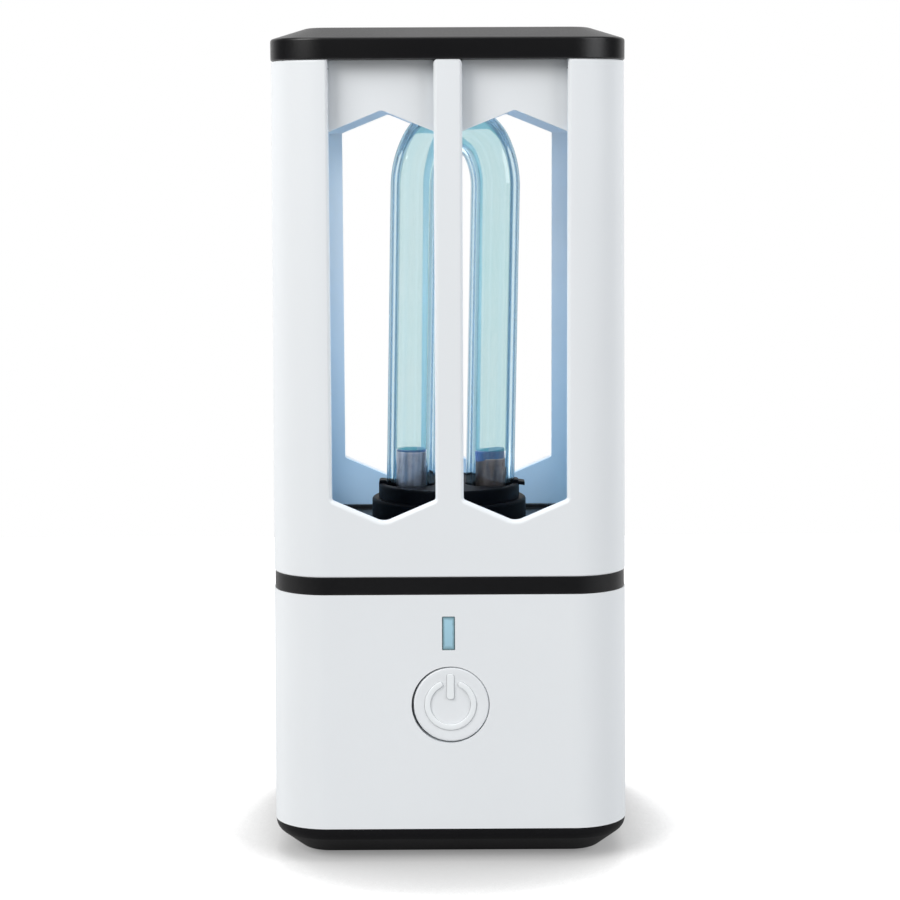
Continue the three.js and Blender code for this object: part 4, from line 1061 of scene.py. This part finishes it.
def build_symbol(sizes):
    """Raised symbol on its light guide."""
    low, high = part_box("power_symbol")
    front = low.y + sizes.symbol_sunk
    disc_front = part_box("power_button")[0].y + DISC_BEHIND
    symbol = symbol_marks("symbol_guide", front, disc_front + 0.2 * MM)
    with editing(symbol):
        soften(lambda e: at_depth(e, front) and e.calc_face_angle(0) > 0.5, 0.12 * MM, 3)
    disc = rod("disc", (0, disc_front, BUTTON_Z), (0, disc_front + 0.8 * MM, BUTTON_Z), DISC_RADIUS, 64)
    weld(disc, rod("stem", (0, disc_front + 0.5 * MM, BUTTON_Z), (0, high.y, BUTTON_Z), 1.6 * MM))
    weld(symbol, disc)
    mount(symbol, "symbol_plastic", "power_symbol", body="button")


def build_status_window(sizes):
    """Small light window over the button."""
    low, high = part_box("indicator_lens")
    lens = status_block("status_lens", sizes, 1 * MM, 2.74 * MM, low.y, high.y, 0.12 * MM)
    with editing(lens):
        soften(lambda e: at_depth(e, low.y), 0.14 * MM, 3)
    wide, tall = 1.9 * MM, 3.5 * MM
    back = -side(WINDOW_Z) + HOUSING_WALL + 0.35 * MM
    far = (wide, back + 0.75 * MM, WINDOW_Z + tall)
    weld(lens, block("lens_flange", (-wide, back, WINDOW_Z - tall), far))
    mount(lens, "status_window", "indicator_lens")


# Lamp

def bent_tube(name, radius, bore, low):
    """U-shaped tube: one leg extruded, the bend spun in three arcs, the other leg extruded."""
    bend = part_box("uv_lamp_tube")[1].z - 12.7 * MM
    flank, crown = 15.2 * MM, 5.9 * MM
    turn = math.acos((flank - LEG_AT) / (flank - crown))
    crown_z = bend + (flank - crown) * math.sin(turn)
    arcs = (
        (flank - LEG_AT, bend, turn, 14),
        (0, crown_z, math.pi - 2 * turn, 26),
        (LEG_AT - flank, bend, turn, 14),
    )
    ring = {"vertices": 64, "location": (-LEG_AT, 0, low)}
    obj = primitive("circle", name, radius=radius, fill_type="NOTHING" if bore else "NGON", **ring)
    with editing(obj):
        if bore:
            bpy.ops.mesh.primitive_circle_add(radius=bore, **ring)
            bpy.ops.mesh.select_all(action="SELECT")
            bpy.ops.mesh.bridge_edge_loops()
            bpy.ops.mesh.select_all(action="SELECT")
        pick("FACE", lambda f: True)
        extrude(0, 0, bend - low)
        for x, z, angle, steps in arcs:
            swept(steps, -angle, (x, 0, z), (0, 1, 0))
        extrude(0, 0, low - bend)
        sew(1e-6)
    return obj


def lean(obj, sizes):
    """Sets a lamp piece as the lamp stands in its collar: a little aside and not quite upright."""
    foot = Vector((0, 0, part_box("lamp_holder")[1].z))
    turn = Matrix.Rotation(sizes.lamp_lean, 4, "Y")
    aside = Matrix.Translation((sizes.lamp_aside, 0, 0))
    obj.matrix_world = aside @ Matrix.Translation(foot) @ turn @ Matrix.Translation(-foot)
    settle(obj, obj.name)


def build_tube(sizes):
    """Glass tube and the haze in its bore."""
    tube = bent_tube("glass_tube", TUBE_RADIUS, sizes.bore, heights("uv_lamp_tube")[0])
    lean(tube, sizes)
    mount(tube, "lamp_glass", "uv_lamp_tube")
    haze = bent_tube("lamp_vapour", sizes.haze_radius, 0, heights("electrode_left")[1])
    lean(haze, sizes)
    mount(haze, "lamp_glass", look="vapour")


def build_electrodes(sizes):
    """Metal cup with its lead in each foot of the tube, under a bead of blue enamel."""
    for name, x, finish, rise, sunk, tilt in (
        ("left", -LEG_AT, "nickel", 0.3, 0.35, 3),
        ("right", LEG_AT, "nickel_scorched", 1.35, 1.3, 8),
    ):
        low, high = heights(f"electrode_{name}")
        low, high = low - 0.8 * MM, high - sunk * MM
        cup = post(f"electrode_cup_{name}", x, 0, low, high, CUP_RADIUS, 64)
        with editing(cup):
            stepped(up, (0.3 * MM, -4 * MM))
            round_level(high, 0.12 * MM, 3)
            round_level(low, 0.35 * MM, 3)
        beside = x + CUP_RADIUS + 0.15 * MM
        weld(cup, post("lead", beside, 0.3 * MM, low + 0.2 * MM, low + 3.6 * MM, 0.22 * MM, 12))
        lean(cup, sizes)
        mount(cup, "nickel", f"electrode_{name}", finish)
        under, above = high - 0.9 * MM, high + rise * MM
        bead = post(f"electrode_bead_{name}", x, 0, under, above, CUP_RADIUS - 0.02 * MM, 64)
        with editing(bead):
            pick("FACE", up)
            bpy.ops.transform.rotate(value=math.radians(tilt), orient_axis="Y", center_override=(x, 0, high))
            soften(lambda e: all(v.co.z > high - 0.6 * MM for v in e.verts), 0.12 * MM, 4)
        lean(bead, sizes)
        mount(bead, "nickel", look="blue_enamel")


def socket_hook(sign, foot, top):
    """Upright clip beside the lamp; the right one ends in a beak."""
    near, far = sorted((sign * 10.7 * MM, sign * 12.1 * MM))
    stem = block("hook", (near, -1.5 * MM, foot), (far, 1.5 * MM, top))
    with editing(stem):
        soften(lambda e: level(e, top) and along(e, 1), 0.45 * MM, 4)
    if sign > 0:
        tip = (13.1 * MM, 1.4 * MM, top - 0.12 * MM)
        beak = block("beak", (11.2 * MM, -1.4 * MM, top - 0.75 * MM), tip)
        with editing(beak):
            pick("EDGE", lambda e: along(e, 1) and middle(e).x > 13 * MM)
            move(0, 0, -0.3 * MM)
            bevel(0.12 * MM, 3)
        weld(stem, beak)
    return stem


def build_socket(sizes):
    """Round lamp socket with its hooks, and the collar on it."""
    low, high = heights("lamp_socket")
    top = low + 6 * MM
    legs = (LEG_AT, -LEG_AT)
    socket = post("socket_body", 0, 0, low, top, SOCKET_RADIUS, 96)
    with editing(socket):
        round_level(top, 0.5 * MM, 4)
    for x in legs:
        drill(socket, [(x + sizes.lamp_aside, 0)], low + 3 * MM, top + 1 * MM, 4.5 * MM, 64)
        drill(socket, [(x, 0)], low - 1 * MM, low + 4 * MM, LEAD_RADIUS)
    for sign in (1, -1):
        weld(socket, socket_hook(sign, top - 0.5 * MM, high - 0.7 * MM))
    fine_edges(socket, 0.12 * MM, 2)
    mount(socket, "black_plastic", "lamp_socket", "socket_plastic")
    low, high = heights("lamp_holder")
    high -= 0.35 * MM
    holder = post("holder_collar", 0, 0, low, high, COLLAR_RADIUS, 96)
    with editing(holder):
        round_level(high, 0.3 * MM, 3)
        pick("FACE", up)
        inset(0.6 * MM)
        inset(0.25 * MM, -0.25 * MM)
    below, above = low - 1 * MM, high + 1 * MM
    drill(holder, [(x + sizes.lamp_aside, 0) for x in legs], below, above, 4.4 * MM, 64)
    for sign in (1, -1):
        near, far = sorted((sign * 10.5 * MM, sign * 13.5 * MM))
        cut(holder, block("notch", (near, -1.8 * MM, below), (far, 1.8 * MM, above)))
    fine_edges(holder, 0.1 * MM, 2)
    mount(holder, "black_plastic", "lamp_holder", "socket_plastic")


# Screws, charging socket and what lies inside

def new_screw(name, bite):
    """Pan-head screw that points up from z 0, with a cross recess and a ridged shaft."""
    screw = post(name, 0, 0, -SCREW_HEAD, 0, SCREW_RADIUS)
    with editing(screw):
        round_level(-SCREW_HEAD, 0.6 * MM, 4)
        pick("FACE", up)
        inset(1 * MM)
        steps = round(bite / (0.45 * MM))
        for step in range(steps):
            extrude(0, 0, bite / steps)
            grow = 0.86 if step % 2 == 0 else 1 / 0.86
            resize(grow, grow, 1, (0, 0, 0))
    for x, y in ((2.3, 0.5), (0.5, 2.3)):
        cut(screw, block("cross", (-x / 2 * MM, -y / 2 * MM, -3 * MM), (x / 2 * MM, y / 2 * MM, -0.9 * MM)))
    return screw


def build_screws(sizes):
    """Each kind of screw once, copied to every place; the board's screws point down."""
    for kind, count in {"base": 4, "deck": 4, "cap": 4, "board": 4, "socket": 2}.items():
        low, high = heights(f"{kind}_screw_1")
        downwards = kind == "board"
        screw = new_screw(f"{kind}_fixing_1", high - low - SCREW_HEAD)
        screw.rotation_euler.x = math.pi if downwards else 0
        settle(screw, screw.name)
        made = [screw] + [copied(screw, f"{kind}_fixing_{i}") for i in range(2, count + 1)]
        for i, one in enumerate(made, 1):
            low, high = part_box(f"{kind}_screw_{i}")
            z = high.z - SCREW_HEAD if downwards else low.z + SCREW_HEAD
            one.location = ((low.x + high.x) / 2, (low.y + high.y) / 2, z)
            settle(one, one.name)
            mount(one, "steel", f"{kind}_screw_{i}")


def build_charging_socket(sizes):
    """Folded metal shell, open outwards, with its tongue and five contacts."""
    low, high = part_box("charge_socket_shell")
    shell = block("port_shell", low, high)
    with editing(shell):
        soften(lambda e: along(e, 1) and middle(e).z < low.z + 0.1 * MM, 0.8 * MM, 3)
        soften(lambda e: along(e, 1) and middle(e).z > high.z - 0.1 * MM, 0.45 * MM, 4)
        pick("FACE", lambda f: f.normal.y > 0.9)
        inset(0.35 * MM)
        extrude(0, -5.6 * MM, 0)
    fine_edges(shell, 0.06 * MM, 2, 50)
    mount(shell, "steel", "charge_socket_shell")
    low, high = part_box("charge_socket_tongue")
    tongue = block("port_tongue", low, high)
    with editing(tongue):
        soften(lambda e: middle(e).y > high.y - 0.01 * MM and along(e, 0), 0.2 * MM, 2)
    fine_edges(tongue, 0.05 * MM, 2, 50)
    mount(tongue, "chip_black", "charge_socket_tongue")
    near = (-1.45 * MM, low.y + 0.4 * MM, low.z - 0.08 * MM)
    first = block("port_contact_1", near, (-1.15 * MM, high.y - 0.3 * MM, low.z + 0.05 * MM))
    fine_edges(first, 0.03 * MM, 2, 50)
    others = [copied(first, f"port_contact_{i + 1}", shift=(0.65 * MM * i, 0, 0)) for i in range(1, 5)]
    for one in [first, *others]:
        mount(one, "steel", look="gold")


def build_inside(sizes):
    """Foam pad, and finishes for the packed parts that keep their shape."""
    low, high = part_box("battery_foam_pad")
    pad = block("foam_pad", low, high)
    fine_edges(pad, 0.3 * MM)
    mount(pad, "foam", "battery_foam_pad")
    slots = {part["node"]: part["material_slot"] for part in frame["record"]["subparts"]}
    for name, kept in frame["nodes"].items():
        if not kept.hide_render:
            kept.material_slots[0].material = MATERIALS[slots[name]]


# Stage

def placed(name, data):
    """Object for a lamp or a camera, in the scene."""
    made = bpy.data.objects.new(name, data)
    bpy.context.scene.collection.objects.link(made)
    return made


def light(name, kind, place, energy, color, unseen_by):
    """Lamp that the named kinds of ray don't see."""
    data = bpy.data.lights.new(name, kind)
    data.energy = energy
    data.color = color
    lamp = placed(name, data)
    lamp.location = place
    for ray in unseen_by:
        setattr(lamp, f"visible_{ray}", False)
    return lamp


def area_light(name, place, size, tall, energy, color, *unseen_by):
    """Soft lamp that shines at the column's middle."""
    lamp = light(name, "AREA", place, energy, color, ("camera", "transmission", *unseen_by))
    lamp.data.shape = "RECTANGLE"
    lamp.data.size = size
    lamp.data.size_y = tall
    lamp.rotation_euler = (Vector(place) - Vector((0, 0, 0.07))).to_track_quat("Z", "Y").to_euler()


def build_lamps(stage):
    """Five soft lamps, and three small ones between the legs that stand for the tube's own light."""
    white = (1, 1, 1)
    area_light("key", (-0.55, -0.5, 0.55), 0.5, 0.5, stage.key, (1.0, 0.99, 0.98))
    area_light("fill", (0.6, -0.45, 0.35), 0.5, 0.5, stage.fill, (0.97, 0.98, 1.0))
    area_light("top", (0, 0.1, 0.8), 0.7, 0.7, stage.top, white)
    area_light("rim_left", (-0.6, 0.35, 0.2), 0.4, 0.6, stage.rim, white, "glossy")
    area_light("rim_right", (0.6, 0.35, 0.2), 0.4, 0.6, stage.rim, white, "glossy")
    glows = ((67, 0.6, (0.2, 0.48, 1.0)), (90, 0.8, (0.35, 0.6, 1.0)), (112, 1.7, (0.7, 0.82, 1.0)))
    for i, (z, share, color) in enumerate(glows, 1):
        unseen_by = ("camera", "glossy", "transmission")
        lamp = light(f"tube_light_{i}", "POINT", (0, 0, z * MM), stage.tube_light * share, color, unseen_by)
        lamp.data.shadow_soft_size = 2 * MM


def build_camera():
    """The photograph's view, by its place, turn and focal length."""
    yaw, pitch, roll = (math.radians(a) for a in (0.218, -7.263, -0.255))
    ahead = Vector((math.sin(yaw) * math.cos(pitch), math.cos(yaw) * math.cos(pitch), math.sin(pitch)))
    right = Vector((math.cos(yaw), -math.sin(yaw), 0))
    above = right.cross(ahead)
    across = right * math.cos(roll) + above * math.sin(roll)
    upward = above * math.cos(roll) - right * math.sin(roll)
    data = bpy.data.cameras.new("View")
    data.lens = 95.04
    data.sensor_width = 36
    data.clip_start = 0.01
    camera = placed("View", data)
    turn = Matrix((across, upward, -ahead)).transposed().to_4x4()
    camera.matrix_world = Matrix.Translation((-0.001349, -0.407948, 0.116473)) @ turn
    bpy.context.scene.camera = camera


def seen_white(tree, shader_out, strength):
    """Adds plain white where the camera, a reflection or glass looks at the stage."""
    path = node(tree, "ShaderNodeLightPath").outputs
    looked = maths(tree, "MAXIMUM", path["Is Camera Ray"], path["Is Transmission Ray"])
    looked = maths(tree, "MAXIMUM", looked, maths(tree, "MULTIPLY", path["Is Glossy Ray"], 0.25))
    # painted shadow: an ambient occlusion ramp, tilted to reach further in front, dims the added white
    forward = node(tree, "ShaderNodeCombineXYZ", {"Y": 0.45, "Z": 0.89}).outputs[0]
    settings = {"Distance": 0.04, "Normal": forward}
    open_here = node(tree, "ShaderNodeAmbientOcclusion", settings, samples=16).outputs["AO"]
    stops = ((0.0, 0.2), (0.3, 0.24), (0.5, 0.31), (0.63, 0.4), (0.715, 0.72), (0.78, 0.94), (0.84, 1.0))
    shades = ramped(tree, open_here, [(at, (tone, tone, tone)) for at, tone in stops])
    shade = maths(tree, "MULTIPLY", shades, strength)
    glow = node(tree, "ShaderNodeEmission", {"Strength": maths(tree, "MULTIPLY", looked, shade)})
    return node(tree, "ShaderNodeAddShader", {0: shader_out, 1: glow.outputs[0]}).outputs[0]


def build_floor(stage):
    """Pale floor that the camera sees white, apart from its own shade."""
    floor = sheet("floor", (0.8, 0.42, 1), (0, 0.09, 0))
    material, tree, shader = new_material("Studio paper")
    material.cycles.emission_sampling = "NONE"
    fibre = noise(tree, position(tree), 900.0, 3.0)
    tone = mixed(tree, ranged(tree, fibre, 0.3, 0.7), (0.34, 0.34, 0.34), (0.35, 0.35, 0.35))
    feed(shader, {"Base Color": tone, "Roughness": 0.9, "Specular IOR Level": 0.0})
    white = seen_white(tree, shader.outputs[0], stage.floor_glow)
    feed(tree.nodes["Material Output"], {"Surface": white})
    floor.data.materials.append(material)


def build_backdrop(stage):
    """World that the camera sees white, mirrors see white behind, and that lights all round a little."""
    world = bpy.data.worlds.new("Studio")
    world.cycles.sampling_method = "NONE"
    bpy.context.scene.world = world
    world.use_nodes = True
    tree = world.node_tree
    path = node(tree, "ShaderNodeLightPath").outputs
    seen = maths(tree, "MAXIMUM", path["Is Camera Ray"], path["Is Transmission Ray"])
    facing = apart(tree, node(tree, "ShaderNodeTexCoord").outputs["Generated"])
    behind = ranged(tree, facing["Y"], 0.4, 0.9)
    mirrored_white = maths(tree, "MULTIPLY", path["Is Glossy Ray"], behind)
    ambient = maths(tree, "MULTIPLY", path["Is Diffuse Ray"], stage.ambient)
    total = maths(tree, "MAXIMUM", maths(tree, "MAXIMUM", seen, mirrored_white), ambient)
    feed(tree.nodes["Background"], {"Color": (1, 1, 1), "Strength": total})


def build_stage(stage):
    """Floor, backdrop, lamps and camera."""
    build_floor(stage)
    build_backdrop(stage)
    build_lamps(stage)
    build_camera()
    bpy.context.scene.view_settings.view_transform = "Standard"


# Settings, operators and panel

def length(label, text, value):
    """Length setting, given in millimetres."""
    settings = {"unit": "LENGTH", "precision": 5}
    return bpy.props.FloatProperty(name=label, description=text, default=value * MM, **settings)


def angle(label, text, value):
    """Angle setting, given in degrees."""
    return bpy.props.FloatProperty(name=label, description=text, default=math.radians(value), subtype="ANGLE")


def tint(label, text, value):
    settings = {"subtype": "COLOR", "size": 3, "min": 0, "max": 1}
    return bpy.props.FloatVectorProperty(name=label, description=text, default=value, **settings)


def amount(label, text, value, **limits):
    return bpy.props.FloatProperty(name=label, description=text, default=value, min=0, **limits)


class ShellSizes(bpy.types.PropertyGroup):
    """Rounding and small sizes of the moulded shells, and how the lamp stands."""

    window_edge: length("Window edge", "Rounding of the windows' outer edges", 0.8)
    tip_round: length("Window tip", "Radius at the points of the windows", 2.4)
    notch_round: length("Header tip", "Radius at the points of the header's notches", 0.9)
    corner_round: length("Window corner", "Radius at the corners of the windows", 0.4)
    slot_corner: length("Mullion top", "Radius at the top corners of the mullions", 0.75)
    sill_draft: length("Sill draft", "Fall of the window sills over 4 mm towards the inside", 0.6)
    cage_top_edge: length("Cage top edge", "Rounding of the cage's top under the cap", 0.35)
    seam_edge: length("Seam edge", "Rounding along the seams between shells", 0.25)
    cap_edge: length("Cap edge", "Rounding between the cap's side and slope", 0.35)
    base_round: length("Base shoulder", "Rounding between the foot's side and chamfer", 0.8)
    base_lean: length("Base lean", "How far the foot's side leans in", 0.25)
    button_edge: length("Button edge", "Rounding of the button's rim", 0.3)
    button_dish: length("Button dish", "How deep the button's face is dished", 0.22)
    button_lie: length("Button lie", "How far the button lies to the right in its hole", 0.15)
    symbol_sunk: length("Symbol sunk", "How far the symbol stays behind its full height", 0.06)
    window_at: length("Status window place", "Place of the status window across the front", -0.28)
    lamp_aside: length("Lamp aside", "How far the lamp stands to the right of the middle", 0.28)
    lamp_lean: angle("Lamp lean", "How far the lamp leans to the right", 1.15)
    bore: length("Tube bore", "Radius of the glass tube's bore", 3.2)
    haze_radius: length("Haze", "Radius of the haze in the bore", 2.62)


class Finishes(bpy.types.PropertyGroup):
    """Colours of the lamp."""

    white: tint("White", "Colour of the cage, housing and button", (0.785, 0.814, 0.838))
    black: tint("Black", "Colour of the cap, band and foot", (0.006, 0.006, 0.007))
    glass: tint("Glass", "Tint of the lamp's glass", (0.965, 0.985, 0.99))
    vapour: tint("Vapour", "Colour of the haze in the lamp's bore", (0.06, 0.42, 0.45))
    density: amount("Haze", "How much the haze hides", 0.225, max=1)


class StageLight(bpy.types.PropertyGroup):
    """Lamps and floor of the stage."""

    key: amount("Key", "Power of the large lamp at the front left", 5.9)
    fill: amount("Fill", "Power of the lamp at the front right", 2.8)
    top: amount("Top", "Power of the lamp above", 3.2)
    rim: amount("Rim", "Power of each lamp at the back", 1.8)
    ambient: amount("Ambient", "Strength of the light from all round", 0.35)
    floor_glow: amount("Floor glow", "White that the floor shows beside its own shade", 1.1)
    tube_light: amount("Tube light", "Power of each small lamp inside the cage", 0.005)


def new_operator(build, label, settings="sterilizer_shell"):
    """Operator class that runs one building function with the scene's settings for it."""

    def execute(self, context):
        build(getattr(context.scene, settings))
        return {"FINISHED"}

    name = build.__name__.removeprefix("build_")
    contents = {
        "bl_idname": f"sterilizer.{name}",
        "bl_label": label,
        "bl_options": {"REGISTER", "UNDO"},
        "__doc__": build.__doc__.rstrip("."),
        "execute": execute,
    }
    return type(f"STERILIZER_OT_{name}", (bpy.types.Operator,), contents)


OPERATORS = [new_operator(*row) for row in (
    (build_finishes, "Finishes", "sterilizer_finish"),
    (build_base, "Foot Cover"),
    (build_feet, "Rubber Feet"),
    (build_housing, "Lower Housing"),
    (build_deck, "Deck"),
    (build_cage, "Lamp Cage"),
    (build_header, "Header Frame"),
    (build_cap, "Top Cap"),
    (build_button, "Power Button"),
    (build_symbol, "Power Symbol"),
    (build_status_window, "Status Window"),
    (build_tube, "Lamp Tube"),
    (build_electrodes, "Electrodes"),
    (build_socket, "Lamp Socket"),
    (build_screws, "Screws"),
    (build_charging_socket, "Charging Socket"),
    (build_inside, "Inner Parts"),
    (build_stage, "Stage", "sterilizer_stage"),
)]


class STERILIZER_PT_panel(bpy.types.Panel):
    """Lists the lamp's settings and the steps that build it"""

    bl_idname = "STERILIZER_PT_panel"
    bl_label = "UV Sterilizer Lamp"
    bl_space_type = "VIEW_3D"
    bl_region_type = "UI"
    bl_category = "Lamp"

    def draw(self, context):
        for name in SETTINGS:
            settings = getattr(context.scene, name)
            for key in settings.__annotations__:
                self.layout.prop(settings, key)
        for kind in OPERATORS:
            self.layout.operator(kind.bl_idname)


SETTINGS = {"sterilizer_shell": ShellSizes, "sterilizer_finish": Finishes, "sterilizer_stage": StageLight}
CLASSES = [*SETTINGS.values(), *OPERATORS, STERILIZER_PT_panel]


def register():
    for kind in CLASSES:
        bpy.utils.register_class(kind)
    for name, kind in SETTINGS.items():
        setattr(bpy.types.Scene, name, bpy.props.PointerProperty(type=kind))


def unregister():
    for name in SETTINGS:
        delattr(bpy.types.Scene, name)
    for kind in reversed(CLASSES):
        bpy.utils.unregister_class(kind)


def main():
    register()
    for kind in OPERATORS:
        getattr(bpy.ops.sterilizer, kind.bl_idname.split(".")[1])()


if __name__ == "__main__":
    main()
